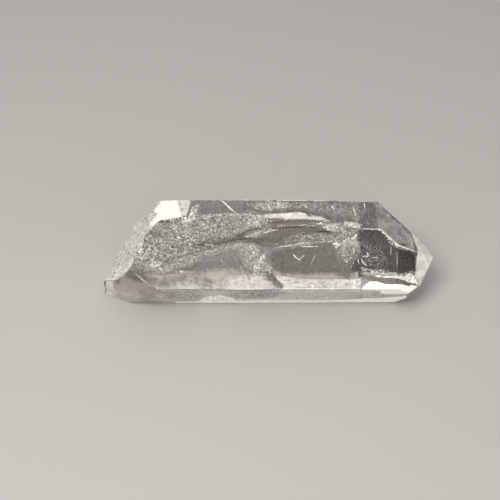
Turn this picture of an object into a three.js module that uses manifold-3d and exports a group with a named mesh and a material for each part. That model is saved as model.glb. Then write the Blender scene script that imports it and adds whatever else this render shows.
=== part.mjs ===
// A clear quartz point lying on one of its prism faces: one crystal, in millimetres, +Z up.
// The long axis is +X. The point is at +X, the broken base at -X, and the wide front face looks along -Y.

import * as THREE from 'three';
import { ConvexGeometry } from 'three/addons/geometries/ConvexGeometry.js';
import { mergeVertices } from 'three/addons/utils/BufferGeometryUtils.js';
import Module from 'manifold-3d';

const wasm = await Module();
wasm.setup();

// ---- Quartz itself ----
// Neighbouring prism faces meet at 120 degrees. Each face of the point leans in by the same angle.
const TURN = THREE.MathUtils.degToRad(60);
const LEAN = THREE.MathUtils.degToRad(38.21);

// ---- The six prism faces, walking round from the lower front edge ----
// facing: the way a face looks, in turns of 60 degrees from straight up towards the back.
// width: its width across the crystal. pointStart: the X where the face of the point above it begins.
// The last two widths follow, because a ring of 120 degree corners has to close.
const FRONT_LOWER = { facing: 4, width: 11.9, pointStart: 36.6 };
const FRONT_UPPER = { facing: 5, width: 16.5, pointStart: 33.3 };
const TOP = { facing: 0, width: 11.5, pointStart: 28.1 };
const BACK_UPPER = { facing: 1, pointStart: 28.5 };
const BACK_LOWER = { facing: 2, pointStart: 24.0 };
const BOTTOM = { facing: 3, width: 15.8, pointStart: 37.0 };
BACK_LOWER.width = TOP.width + FRONT_UPPER.width - BOTTOM.width;
BACK_UPPER.width = FRONT_UPPER.width + FRONT_LOWER.width - BACK_LOWER.width;
const FACES = [FRONT_LOWER, FRONT_UPPER, TOP, BACK_UPPER, BACK_LOWER, BOTTOM];

// Growth ledges: where the prism steps in a little towards the point, as [X, step height].
const LEDGES = new Map([
  [TOP, [[2.0, 0.08], [12.0, 0.10], [20.5, 0.12], [24.0, 0.10], [26.3, 0.12]]],
  [FRONT_UPPER, [[-12.5, 0.05], [22.2, 0.08]]],
  [FRONT_LOWER, [[-4.0, 0.06], [17.0, 0.08]]],
  [BACK_UPPER, [[-6.0, 0.10], [8.0, 0.12], [18.0, 0.15], [23.5, 0.15]]],
  [BACK_LOWER, [[-18.0, 0.08], [-2.0, 0.12], [12.0, 0.15], [19.0, 0.12]]],
  [BOTTOM, []],
]);

// ---- Plane facets that cut the crystal's corners ----
// The smooth facet on the lower front of the base: where it crosses the two front faces and the bottom.
const HEEL = { onFace: [-36.3, -3.2, 15.1], edgeX: -28.9, onBottom: [-37.0, 0, 0] };
// The facet at the top of the base: it leans down towards the base from this line across the top.
const SHOULDER = { back: [-20.0, 13.9], front: [-21.1, 6.5], slope: 0.085 };
// The worn tip.
const TIP_WEAR = { facing: [0.73, 0, -0.62], through: [43.9, 0, 12.0] };

// ---- The broken base ----
// It leans over the crystal: X grows with Y and with Z. A low lip is left standing at its front.
const BASE = { x: -45.15, perY: 0.117, perZ: 0.611 };
const LIP = { reach: 2.5, crest: 6.2, end: 8.4, front: 2.0, back: 12.0 };
// Shell-like ribs, as rings round a centre in the section.
const BASE_RIBS = [
  { y: 24.0, z: 27.0, spacing: 5.2, height: 0.22 },
  { y: -6.0, z: 2.0, spacing: 3.4, height: 0.12 },
];
const BASE_ROUGH = 0.22;
const BASE_CELLS = 26;

// ---- The broken edge between the top and the upper front face ----
// At each X: how far back on the top it starts, and how far down the front face it ends.
const BREAK = [
  { x: -50.0, back: 4.2, down: 12.6 },
  { x: -36.3, back: 4.2, down: 10.7 },
  { x: -30.5, back: 4.2, down: 9.9 },
  { x: -27.5, back: 4.2, down: 10.3 },
  { x: -24.4, back: 4.4, down: 8.2 },
  { x: -20.5, back: 4.8, down: 7.2 },
  { x: -17.8, back: 5.4, down: 6.2 },
  { x: -11.4, back: 5.9, down: 4.9 },
  { x: -7.5, back: 5.8, down: 3.8 },
  { x: -4.9, back: 5.6, down: 4.2 },
  { x: -1.8, back: 4.8, down: 5.1 },
  { x: 2.1, back: 5.6, down: 5.3 },
  { x: 8.0, back: 6.3, down: 4.4 },
  { x: 13.4, back: 5.0, down: 4.0 },
  { x: 17.2, back: 2.6, down: 3.6 },
  { x: 19.7, back: 1.2, down: 3.5 },
  { x: 22.3, back: 0.6, down: 2.6 },
  { x: 23.6, back: 0.15, down: 0.3 },
];
// Its ledges run along the crystal. share: how far across the break the ledge lies, as [X, share].
// drop: how deep the surface falls just below the ledge.
const BREAK_LEDGES = [
  { share: [[-50, 0.16], [-22, 0.12], [-7, 0.16], [4, 0.24], [13, 0.22], [24, 0.2]], drop: 0.4 },
  { share: [[-50, 0.52], [-22, 0.6], [-10, 0.62], [-2, 0.48], [8, 0.46], [24, 0.44]], drop: 0.55 },
  { share: [[-50, 0.84], [-22, 0.86], [-8, 0.84], [4, 0.84], [14, 0.8], [24, 0.78]], drop: 0.4 },
];
const LEDGE_RISER = 0.02;
const BREAK_HOLLOW = 0.35;
// The break is rough near the base and smooth towards the point. It gets shallower where it is narrow.
const BREAK_ROUGH = { height: 0.32, fadeFrom: -8, fadeTo: 6, least: 0.12 };
const BREAK_FULL_WIDTH = 6;
const BREAK_STATIONS = 92;
const CELLS_PER_BAND = 4;
// The cut runs this share of its width past both rims, and this far out from the edge, into the open.
const OVERSHOOT = 0.2;
const CLEAR = 14;

// ---- Small chips: a place, its half sizes, and its turn about Z ----
const CHIPS = [
  { at: [-12.4, -0.9, 0.0], half: [3.7, 1.5, 0.9], turn: 0 },
  { at: [-20.2, 14.2, 25.1], half: [1.3, 1.6, 0.9], turn: 0.3 },
  { at: [-35.9, 20.8, 13.6], half: [1.5, 1.2, 1.6], turn: 0.2 },
  { at: [-40.2, 19.0, 4.6], half: [1.3, 1.2, 1.4], turn: 0.1 },
  { at: [-30.6, 14.6, 25.0], half: [2.6, 2.6, 1.5], turn: 0.2 },
  { at: [29.0, 1.9, 24.6], half: [1.1, 0.9, 0.5], turn: 0.5 },
  { at: [30.6, 1.1, 23.4], half: [1.0, 0.7, 0.8], turn: -0.4 },
  { at: [32.3, 0.3, 22.0], half: [1.2, 0.8, 0.7], turn: 0.3 },
  { at: [34.2, -0.1, 20.3], half: [0.9, 0.6, 0.7], turn: -0.2 },
  { at: [18.1, 0.8, 22.0], half: [1.6, 0.9, 1.0], turn: 0.1 },
  { at: [19.9, 1.4, 23.2], half: [1.2, 1.0, 0.8], turn: 0.4 },
  { at: [16.2, 2.6, 23.6], half: [1.3, 1.2, 0.7], turn: -0.3 },
  { at: [35.2, -5.9, 10.0], half: [1.1, 0.6, 0.8], turn: 0.2 },
];

// ---- How it is made ----
// The blank that everything is cut from is longer than the crystal, and the base is cut from a wider grid.
const BLANK_END = 52;
const SECTION_MARGIN = 3;
const SMALLEST_EDGE = 0.01;
const SEED = 7;

/** Straight-line value at x of a list of [x, value] points. */
function along(points, x) {
  const after = points.findIndex(([px]) => px >= x);
  if (after <= 0) return after === 0 ? points[0][1] : points.at(-1)[1];
  const [x0, v0] = points[after - 1];
  const [x1, v1] = points[after];
  return THREE.MathUtils.mapLinear(x, x0, x1, v0, v1);
}

/** Outward direction of a prism face in the Y-Z section. */
function outward({ facing }) {
  return new THREE.Vector2(Math.sin(facing * TURN), Math.cos(facing * TURN));
}

/** Walks the six widths round and notes where each face starts in the Y-Z section. */
function placeFaces() {
  const corner = new THREE.Vector2(0, 0);
  for (const face of FACES) {
    face.start = corner.clone();
    const { x: ny, y: nz } = outward(face);
    face.along = new THREE.Vector2(nz, -ny);
    corner.addScaledVector(face.along, face.width);
  }
}

/** Where two lines of the section cross, each given by its outward direction and its distance out. */
function crossing(n1, d1, n2, d2) {
  const det = n1.x * n2.y - n1.y * n2.x;
  return new THREE.Vector2((d1 * n2.y - d2 * n1.y) / det, (d2 * n1.x - d1 * n2.x) / det);
}

/** How far a prism face has stepped in at x. */
function steppedIn(face, x) {
  let total = 0;
  for (const [start, height] of LEDGES.get(face)) {
    total += height * THREE.MathUtils.clamp(((x - start) * Math.tan(LEAN)) / height, 0, 1);
  }
  return total;
}

/** A closed solid from a geometry with its shared corners merged. */
function solid(geometry) {
  const bare = geometry.clone();
  bare.deleteAttribute('normal');
  bare.deleteAttribute('uv');
  const merged = mergeVertices(bare, 1e-5);
  return new wasm.Manifold(
    new wasm.Mesh({
      numProp: 3,
      vertProperties: new Float32Array(merged.attributes.position.array),
      triVerts: new Uint32Array(merged.index.array),
    }),
  );
}

/** A closed solid from rings of points: side walls between the rings and a fan over each end. */
function loft(rings) {
  const size = rings[0].length;
  const points = rings.flat();
  const middle = (ring) => ring.reduce((sum, p) => sum.add(p), new THREE.Vector3()).divideScalar(size);
  const first = points.push(middle(rings[0])) - 1;
  const last = points.push(middle(rings.at(-1))) - 1;
  const index = [];
  for (let i = 0; i < size; i++) {
    const next = (i + 1) % size;
    for (let r = 0; r + 1 < rings.length; r++) {
      const a = r * size + i;
      const b = r * size + next;
      index.push(a, a + size, b, b, a + size, b + size);
    }
    index.push(first, i, next);
    const end = (rings.length - 1) * size;
    index.push(last, end + next, end + i);
  }
  const geometry = new THREE.BufferGeometry().setFromPoints(points);
  geometry.setIndex(index);
  return solid(geometry);
}

/** The prism with its growth ledges: one six-cornered ring wherever a ledge starts or ends. */
function ledgedPrism() {
  const stops = [...LEDGES.values()].flat().flatMap(([x, height]) => [x, x + height / Math.tan(LEAN)]);
  const stations = [-BLANK_END, ...stops.sort((a, b) => a - b), BLANK_END];
  const rings = stations.map((x) =>
    FACES.map((face, i) => {
      const next = FACES[(i + 1) % FACES.length];
      const reach = outward(face).dot(face.start) - steppedIn(face, x);
      const nextReach = outward(next).dot(next.start) - steppedIn(next, x);
      const corner = crossing(outward(face), reach, outward(next), nextReach);
      return new THREE.Vector3(x, corner.x, corner.y);
    }),
  );
  return loft(rings);
}

/** The plane through a point that looks along a direction. */
function planeAt(direction, point) {
  return new THREE.Plane().setFromNormalAndCoplanarPoint(direction.clone().normalize(), point);
}

/** The plane of the point's face that stands above a prism face. */
function pointPlane(face) {
  const across = outward(face).multiplyScalar(Math.cos(LEAN));
  return planeAt(new THREE.Vector3(Math.sin(LEAN), ...across), new THREE.Vector3(face.pointStart, ...face.start));
}

/** The plane of the smooth facet at the lower front of the base. */
function heelPlane() {
  const onEdge = new THREE.Vector3(HEEL.edgeX, ...FRONT_UPPER.start);
  const toFace = new THREE.Vector3(...HEEL.onFace).sub(onEdge);
  const toBottom = new THREE.Vector3(...HEEL.onBottom).sub(onEdge);
  return planeAt(toFace.cross(toBottom), onEdge);
}

/** The plane of the facet at the top of the base. */
function shoulderPlane() {
  const back = new THREE.Vector3(...SHOULDER.back, TOP.start.y);
  const front = new THREE.Vector3(...SHOULDER.front, TOP.start.y);
  const down = new THREE.Vector3(-1, 0, -SHOULDER.slope);
  return planeAt(back.clone().sub(front).cross(down), back);
}

/** The point where three planes meet, or null where they don't. */
function meeting(a, b, c) {
  const bc = b.normal.clone().cross(c.normal);
  const det = a.normal.dot(bc);
  if (Math.abs(det) < 1e-6) return null;
  const ca = c.normal.clone().cross(a.normal);
  const ab = a.normal.clone().cross(b.normal);
  return bc.multiplyScalar(-a.constant).addScaledVector(ca, -b.constant).addScaledVector(ab, -c.constant).divideScalar(det);
}

/** The convex solid that lies behind every one of the planes. */
function behindAll(planes) {
  const corners = [];
  for (let i = 0; i < planes.length; i++) {
    for (let j = i + 1; j < planes.length; j++) {
      for (let k = j + 1; k < planes.length; k++) {
        const p = meeting(planes[i], planes[j], planes[k]);
        const isCorner = p && planes.every((plane) => plane.distanceToPoint(p) < 1e-6);
        if (isCorner && corners.every((q) => q.distanceTo(p) > 1e-4)) corners.push(p);
      }
    }
  }
  return solid(new ConvexGeometry(corners));
}

/** A wave that runs straight up from -1 to 1 and straight down again, once in each unit of t. */
function zigzag(t) {
  return 1 - 4 * Math.abs(t - Math.floor(t) - 0.5);
}

/** A repeatable random number from -1 to 1. */
function scatter() {
  return 2 * THREE.MathUtils.seededRandom() - 1;
}

/** X of the broken base at a place in the section: a leaning plane, its lip, and its curved ribs. */
function baseX(y, z) {
  const lipHeight = Math.max(0, Math.min(z / LIP.crest, (LIP.end - z) / (LIP.end - LIP.crest)));
  const lip = LIP.reach * lipHeight * (1 - THREE.MathUtils.smoothstep(y, LIP.front, LIP.back));
  const ribs = BASE_RIBS.map((rib) => rib.height * zigzag(Math.hypot(y - rib.y, z - rib.z) / rib.spacing));
  return BASE.x + BASE.perY * y + BASE.perZ * z - lip + ribs.reduce((sum, rib) => sum + rib);
}

/** The material beyond the broken base: a rough grid over the section, closed at the blank's end. */
function baseCutter() {
  const section = new THREE.Box2().setFromPoints(FACES.map((face) => face.start)).expandByScalar(SECTION_MARGIN);
  const rings = [];
  for (let i = 0; i <= BASE_CELLS; i++) {
    const y = THREE.MathUtils.lerp(section.min.x, section.max.x, i / BASE_CELLS);
    const ring = [];
    for (let j = 0; j <= BASE_CELLS; j++) {
      const z = THREE.MathUtils.lerp(section.min.y, section.max.y, j / BASE_CELLS);
      ring.push(new THREE.Vector3(baseX(y, z) + BASE_ROUGH * scatter(), y, z));
    }
    ring.push(new THREE.Vector3(-BLANK_END - 1, y, section.max.y));
    ring.push(new THREE.Vector3(-BLANK_END - 1, y, section.min.y));
    rings.push(ring);
  }
  return loft(rings);
}

/** How deep the break lies under the straight line between its two rims. */
function breakDepth(x, share) {
  if (share <= 0 || share >= 1) return 0;
  const { height, fadeFrom, fadeTo, least } = BREAK_ROUGH;
  const smoothness = THREE.MathUtils.smoothstep(x, fadeFrom, fadeTo);
  const rough = THREE.MathUtils.lerp(height, least, smoothness) * scatter() * Math.min(1, 6 * share, 6 * (1 - share));
  const ledges = BREAK_LEDGES.map((ledge) => {
    const at = along(ledge.share, x);
    return share > at ? (ledge.drop * (1 - share)) / (1 - at) : 0;
  });
  return BREAK_HOLLOW * 4 * share * (1 - share) + rough + ledges.reduce((sum, ledge) => sum + ledge);
}

/** Shares across the break for one station: even cells between the ledges, and a short riser at each. */
function breakShares(x) {
  const stops = [0, ...BREAK_LEDGES.map((ledge) => along(ledge.share, x)), 1 - LEDGE_RISER];
  const shares = [-OVERSHOOT];
  for (let band = 0; band + 1 < stops.length; band++) {
    const from = stops[band] + LEDGE_RISER;
    for (let cell = 0; cell <= CELLS_PER_BAND; cell++) {
      shares.push(THREE.MathUtils.lerp(from, stops[band + 1], cell / CELLS_PER_BAND));
    }
  }
  return [...shares, 1 + OVERSHOOT];
}

/** The material outside the broken edge: its surface, closed well clear of the crystal. */
function breakCutter() {
  const edge = TOP.start;
  const out = outward(TOP).add(outward(FRONT_UPPER)).normalize();
  const far = edge.clone().addScaledVector(out, CLEAR);
  const rings = [];
  for (let s = 0; s <= BREAK_STATIONS; s++) {
    const x = THREE.MathUtils.lerp(BREAK[0].x, BREAK.at(-1).x, s / BREAK_STATIONS);
    const back = along(BREAK.map((stop) => [stop.x, stop.back]), x);
    const down = along(BREAK.map((stop) => [stop.x, stop.down]), x);
    const rimBack = edge.clone().addScaledVector(TOP.along, back);
    const rimFront = edge.clone().addScaledVector(FRONT_UPPER.along, -down);
    const fullness = Math.min(1, rimBack.distanceTo(rimFront) / BREAK_FULL_WIDTH);
    const ring = breakShares(x).map((share) => {
      const p = rimBack.clone().lerp(rimFront, share).addScaledVector(out, -fullness * breakDepth(x, share));
      return new THREE.Vector3(x, p.x, p.y);
    });
    rings.push([...ring, new THREE.Vector3(x, far.x, far.y)]);
  }
  return loft(rings);
}

/** One small chip: a coarse ball, stretched and turned. */
function chipCutter({ at, half, turn }) {
  const ball = new THREE.IcosahedronGeometry(1, 2);
  ball.scale(...half);
  ball.rotateZ(turn);
  ball.translate(...at);
  return solid(ball);
}

/** The whole crystal as one solid. */
function crystal() {
  const facets = [...FACES.map(pointPlane), heelPlane(), shoulderPlane()];
  facets.push(planeAt(new THREE.Vector3(...TIP_WEAR.facing), new THREE.Vector3(...TIP_WEAR.through)));
  facets.push(planeAt(new THREE.Vector3(-1, 0, 0), new THREE.Vector3(1 - BLANK_END, 0, 0)));
  let body = ledgedPrism().intersect(behindAll(facets));
  body = body.subtract(baseCutter()).subtract(breakCutter());
  for (const chip of CHIPS) {
    body = body.subtract(chipCutter(chip));
  }
  return body.asOriginal().simplify(SMALLEST_EDGE);
}

placeFaces();
THREE.MathUtils.seededRandom(SEED);
const { vertProperties, triVerts } = crystal().getMesh();
const geometry = new THREE.BufferGeometry();
geometry.setAttribute('position', new THREE.BufferAttribute(vertProperties, 3));
geometry.setIndex(new THREE.BufferAttribute(triVerts, 1));
geometry.computeBoundingBox();

const quartz = new THREE.MeshStandardMaterial({ color: 0xe9e6e0, roughness: 0.12, metalness: 0, flatShading: true });
const point = new THREE.Mesh(geometry, quartz);
point.name = 'quartz_point';

// The origin is the middle of the crystal's footprint, on the surface that it lies on.
const { min, max } = geometry.boundingBox;
point.position.set(-(min.x + max.x) / 2, -(min.y + max.y) / 2, -min.z);

const group = new THREE.Group();
group.add(point);
export default group;
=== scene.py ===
"""A clear quartz point lying on one of its prism faces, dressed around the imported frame."""
import logging
import math
from dataclasses import dataclass, field
from enum import Enum, IntEnum

import bmesh
import bpy
import numpy as np
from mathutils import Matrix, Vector


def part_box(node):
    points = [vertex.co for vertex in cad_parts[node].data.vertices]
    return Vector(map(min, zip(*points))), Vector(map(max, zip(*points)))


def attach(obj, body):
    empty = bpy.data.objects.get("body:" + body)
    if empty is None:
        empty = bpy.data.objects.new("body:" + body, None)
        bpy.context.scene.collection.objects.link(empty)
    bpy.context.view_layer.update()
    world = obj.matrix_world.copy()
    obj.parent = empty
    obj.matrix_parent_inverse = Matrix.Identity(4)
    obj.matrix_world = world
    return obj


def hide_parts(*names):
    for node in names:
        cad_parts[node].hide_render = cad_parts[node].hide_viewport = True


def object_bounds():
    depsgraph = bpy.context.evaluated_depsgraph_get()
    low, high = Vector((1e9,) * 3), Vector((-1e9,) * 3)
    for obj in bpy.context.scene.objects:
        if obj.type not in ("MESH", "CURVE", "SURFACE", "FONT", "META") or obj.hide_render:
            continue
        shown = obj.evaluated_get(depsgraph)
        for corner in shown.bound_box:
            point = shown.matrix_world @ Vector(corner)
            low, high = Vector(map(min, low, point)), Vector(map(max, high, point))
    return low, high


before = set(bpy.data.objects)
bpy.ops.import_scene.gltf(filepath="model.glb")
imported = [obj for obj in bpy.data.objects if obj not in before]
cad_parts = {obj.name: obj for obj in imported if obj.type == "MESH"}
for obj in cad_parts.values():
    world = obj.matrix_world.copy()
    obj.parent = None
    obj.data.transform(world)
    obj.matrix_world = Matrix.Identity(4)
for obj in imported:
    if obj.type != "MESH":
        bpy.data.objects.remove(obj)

CAD_BOX = [list(corner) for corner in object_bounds()]
LOG = logging.getLogger("quartz_point")
MM = 0.001
NODE = "quartz_point"
# The crystal's own x at the right-hand end of its frame, and how wide one step of girth is taken to be.
END_X = 43.89
GIRTH_MM = 12.0
QUARTZ_IOR = 1.544
BODY_TINT = (0.90, 0.875, 0.845, 1.0)
BODY_DENSITY = 6.0
# In metres: how near two points have to be to merge, and how near a cut a point lies on it.
MERGE = 0.002 * MM
ON_CUT = 1e-7

Array = np.ndarray
Pair = tuple[float, float]
Triple = tuple[float, float, float]
Node = bpy.types.Node
Socket = bpy.types.NodeSocket


# ---- Repeatable randomness and small helpers, on whole arrays ----


def lattice_random(cells: Array, seed: int) -> Array:
    """Gives every whole-number cell its own number from 0 to 1.

    Formula: the cell's three numbers are mixed into one by large odd factors and shifts,
    and the low bits are read as a fraction.

    Args:
        cells: Whole numbers, with x, y and z last.
        seed: Which of many independent fields to give.

    Returns:
        One number for each cell.
    """
    c = cells.astype(np.int64)
    h = c[..., 0] * 73856093 ^ c[..., 1] * 19349663 ^ c[..., 2] * 83492791 ^ (seed * 2654435761)
    h = (h ^ (h >> 13)) * 1274126177 & 0x7FFFFFFF
    h = (h ^ (h >> 15)) * 668265263 & 0x7FFFFFFF
    return ((h ^ (h >> 11)) & 0xFFFFF) / float(0xFFFFF)


def eased(t: Array) -> Array:
    """The soft step 3t^2 - 2t^3."""
    return t * t * (3.0 - 2.0 * t)


def unit(way: Array) -> Array:
    """The same direction, one long."""
    return way / np.linalg.norm(way)


def soft_noise(points: Array, size: float, seed: int) -> Array:
    """Smooth noise from -1 to 1 whose lumps are about one size wide.

    Formula: the points are divided by the size, the eight cell corners round each one get a
    random number, and these are blended along each axis by the soft step.

    Args:
        points: Places, with x, y and z last.
        size: Width of a lump, in the places' own unit.
        seed: Which field to give.

    Returns:
        One number for each place.
    """
    scaled = points / size
    cell = np.floor(scaled)
    t = eased(scaled - cell)
    total = np.zeros(points.shape[:-1])
    for corner in np.ndindex(2, 2, 2):
        pick = np.array(corner)
        weight = np.prod(np.where(pick == 1, t, 1.0 - t), axis=-1)
        total += weight * lattice_random(cell + pick, seed)
    return 2.0 * total - 1.0


def grain_facets(points: Array, size: float, seed: int) -> Array:
    """Height of small tilted facets, as on a granular break.

    Formula: every cell holds one grain centre at a random place. Each point belongs to the
    nearest centre and takes the height of that grain's own tilted plane.

    Args:
        points: Places, with x, y and z last.
        size: Width of a grain, in the places' own unit.
        seed: Which field to give.

    Returns:
        Heights from about -0.5 to 0.5 of a grain.
    """
    scaled = points / size
    cell = np.floor(scaled)
    nearest = np.full(points.shape[:-1], np.inf)
    height = np.zeros(points.shape[:-1])
    for step in np.ndindex(3, 3, 3):
        home = cell + np.array(step) - 1
        drawn = [lattice_random(home, seed + k) for k in range(6)]
        away = scaled - (home + np.stack(drawn[:3], axis=-1))
        tilt = np.stack(drawn[3:], axis=-1) - 0.5
        distance = np.einsum("...i,...i->...", away, away)
        closer = distance < nearest
        nearest = np.where(closer, distance, nearest)
        height = np.where(closer, np.einsum("...i,...i->...", away, tilt), height)
    return height


def turns(random: np.random.Generator, count: int) -> Array:
    """Random rotations.

    Formula: a random unit quaternion for each, written out as its three by three matrix.

    Args:
        random: The source of randomness.
        count: How many.

    Returns:
        One matrix for each.
    """
    q = random.normal(size=(count, 4))
    w, x, y, z = (q / np.linalg.norm(q, axis=1, keepdims=True)).T
    rows = [[1 - 2 * (y * y + z * z), 2 * (x * y - z * w), 2 * (x * z + y * w)],
            [2 * (x * y + z * w), 1 - 2 * (x * x + z * z), 2 * (y * z - x * w)],
            [2 * (x * z - y * w), 2 * (y * z + x * w), 1 - 2 * (x * x + y * y)]]
    return np.moveaxis(np.array(rows), -1, 0)


def ring_quads(rings: int, columns: int) -> Array:
    """Quads between neighbouring rings of points, with the last column joined to the first."""
    r = np.arange(rings - 1)[:, None] * columns
    c = np.arange(columns)[None, :]
    n = np.roll(c, -1, axis=1)
    return np.stack([r + c, r + columns + c, r + columns + n, r + n], axis=-1).reshape(-1, 4)


def halves(quads: Array) -> Array:
    """The two triangles of every quad: all first ones, then all second ones."""
    return np.vstack([quads[:, [0, 1, 2]], quads[:, [0, 2, 3]]])


# ---- The crystal's form ----


class Side(IntEnum):
    """The six prism faces, walking up the front, over the top and down the back."""

    FRONT_LOWER = 0
    FRONT_UPPER = 1
    TOP = 2
    BACK_UPPER = 3
    BACK_LOWER = 4
    BOTTOM = 5


class Girth(IntEnum):
    """Where each strip of the skin starts, on a scale that walks once round the crystal.

    A place on the skin is x along the crystal and this number round it. From 0 to 1 it crosses
    the broken edge from the top's rim to the front's rim, and the last strip ends at 3.
    """

    BOTTOM = -4
    BACK_LOWER = -3
    BACK_UPPER = -2
    TOP = -1
    BREAK = 0
    FRONT_UPPER = 1
    FRONT_LOWER = 2


def strip_of(girth: Array) -> Array:
    """Which strip each place lies in, counted from the bottom's."""
    return np.clip(np.floor(girth).astype(int) + 4, 0, 6)


def once_round(girth: Array) -> Array:
    """The same place with its girth from -4 to 3."""
    return (girth + 4.0) % 7.0 - 4.0


class Zone(IntEnum):
    """The finishes of the crystal's skin, in the order of its material slots."""

    CLEAR = 0
    SHELL = 1
    GRANULAR = 2
    BASE = 3
    WHITE = 4
    MOTTLED = 5


@dataclass(frozen=True)
class Patch:
    """A soft oval area of the skin: its middle, half its size along and round, and its strength."""

    x: float
    girth: float
    half_x: float
    half_girth: float
    strength: float = 1.0

    def cover(self, x: Array, girth: Array) -> Array:
        """How strongly the patch covers each place.

        Formula: 1 in the inner half of the oval, then falling evenly to 0 at its rim, times
        the strength.

        Args:
            x: Places along the crystal.
            girth: Places round it.

        Returns:
            Cover from 0 to the strength.
        """
        away = np.hypot((x - self.x) / self.half_x, (girth - self.girth) / self.half_girth)
        return self.strength * np.clip(2.0 - 2.0 * away, 0.0, 1.0)

    def corners(self) -> Array:
        """The two opposite corners of the patch's box, as x and girth."""
        middle, half = np.array([self.x, self.girth]), np.array([self.half_x, self.half_girth])
        return np.stack([middle - half, middle + half])


@dataclass(frozen=True)
class Area:
    """An area of the skin with straight sides and a fading rim: its outline as x and girth."""

    outline: tuple[Pair, ...]
    strength: float = 1.0
    fade: float = 0.4

    def cover(self, x: Array, girth: Array) -> Array:
        """How strongly the area covers each place.

        Formula: a place is inside where a line from it crosses the sides an odd number of times.
        The cover rises evenly from 0 to the strength over the fade, half outside and half inside.

        Args:
            x: Places along the crystal.
            girth: Places round it.

        Returns:
            Cover from 0 to the strength.
        """
        scale = np.array([1.0, GIRTH_MM])
        corners = np.array(self.outline) * scale
        place = np.stack(np.broadcast_arrays(x, girth), axis=-1) * scale
        inside = np.zeros(place.shape[:-1], bool)
        nearest = np.full(place.shape[:-1], np.inf)
        for a, b in zip(corners, np.roll(corners, -1, axis=0)):
            way = b - a
            crosses = (a[1] > place[..., 1]) != (b[1] > place[..., 1])
            at = a[0] + (place[..., 1] - a[1]) * way[0] / (way[1] if abs(way[1]) > 1e-9 else 1e-9)
            inside ^= crosses & (place[..., 0] < at)
            t = np.clip((place - a) @ way / (way @ way), 0.0, 1.0)
            nearest = np.minimum(nearest, np.linalg.norm(place - a - t[..., None] * way, axis=-1))
        signed = np.where(inside, nearest, -nearest)
        return self.strength * np.clip(0.5 + signed / self.fade, 0.0, 1.0)

    def corners(self) -> Array:
        """The two opposite corners of the area's box, as x and girth, with room for the fade."""
        outline = np.array(self.outline)
        room = 0.5 * self.fade * np.array([1.0, 1.0 / GIRTH_MM])
        return np.stack([outline.min(axis=0) - room, outline.max(axis=0) + room])


Patches = tuple[Patch | Area, ...]


def box_of(patches: Patches) -> Array:
    """The two opposite corners of the box round all patches that add cover."""
    corners = np.stack([patch.corners() for patch in patches if patch.strength > 0.0])
    return np.stack([corners[:, 0].min(axis=0), corners[:, 1].max(axis=0)])


def cover_of(patches: Patches, x: Array, girth: Array) -> Array:
    """Cover by several patches: the strongest one that adds, less the strongest that takes away.

    Args:
        patches: The patches. A negative strength takes cover away.
        x: Places along the crystal.
        girth: Places round it.

    Returns:
        Cover from 0 to 1.
    """
    zero = np.zeros(np.broadcast(x, girth).shape)
    covers = [zero] + [patch.cover(x, girth) for patch in patches]
    return np.clip(np.maximum.reduce(covers) + np.minimum.reduce(covers), 0.0, 1.0)


@dataclass(frozen=True)
class Face:
    """One prism face: its width, where its face of the point starts, and its growth ledges.

    Each ledge is the x at which it starts and its height.
    """

    width: float
    point_start: float
    ledges: tuple[Pair, ...] = ()


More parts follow.
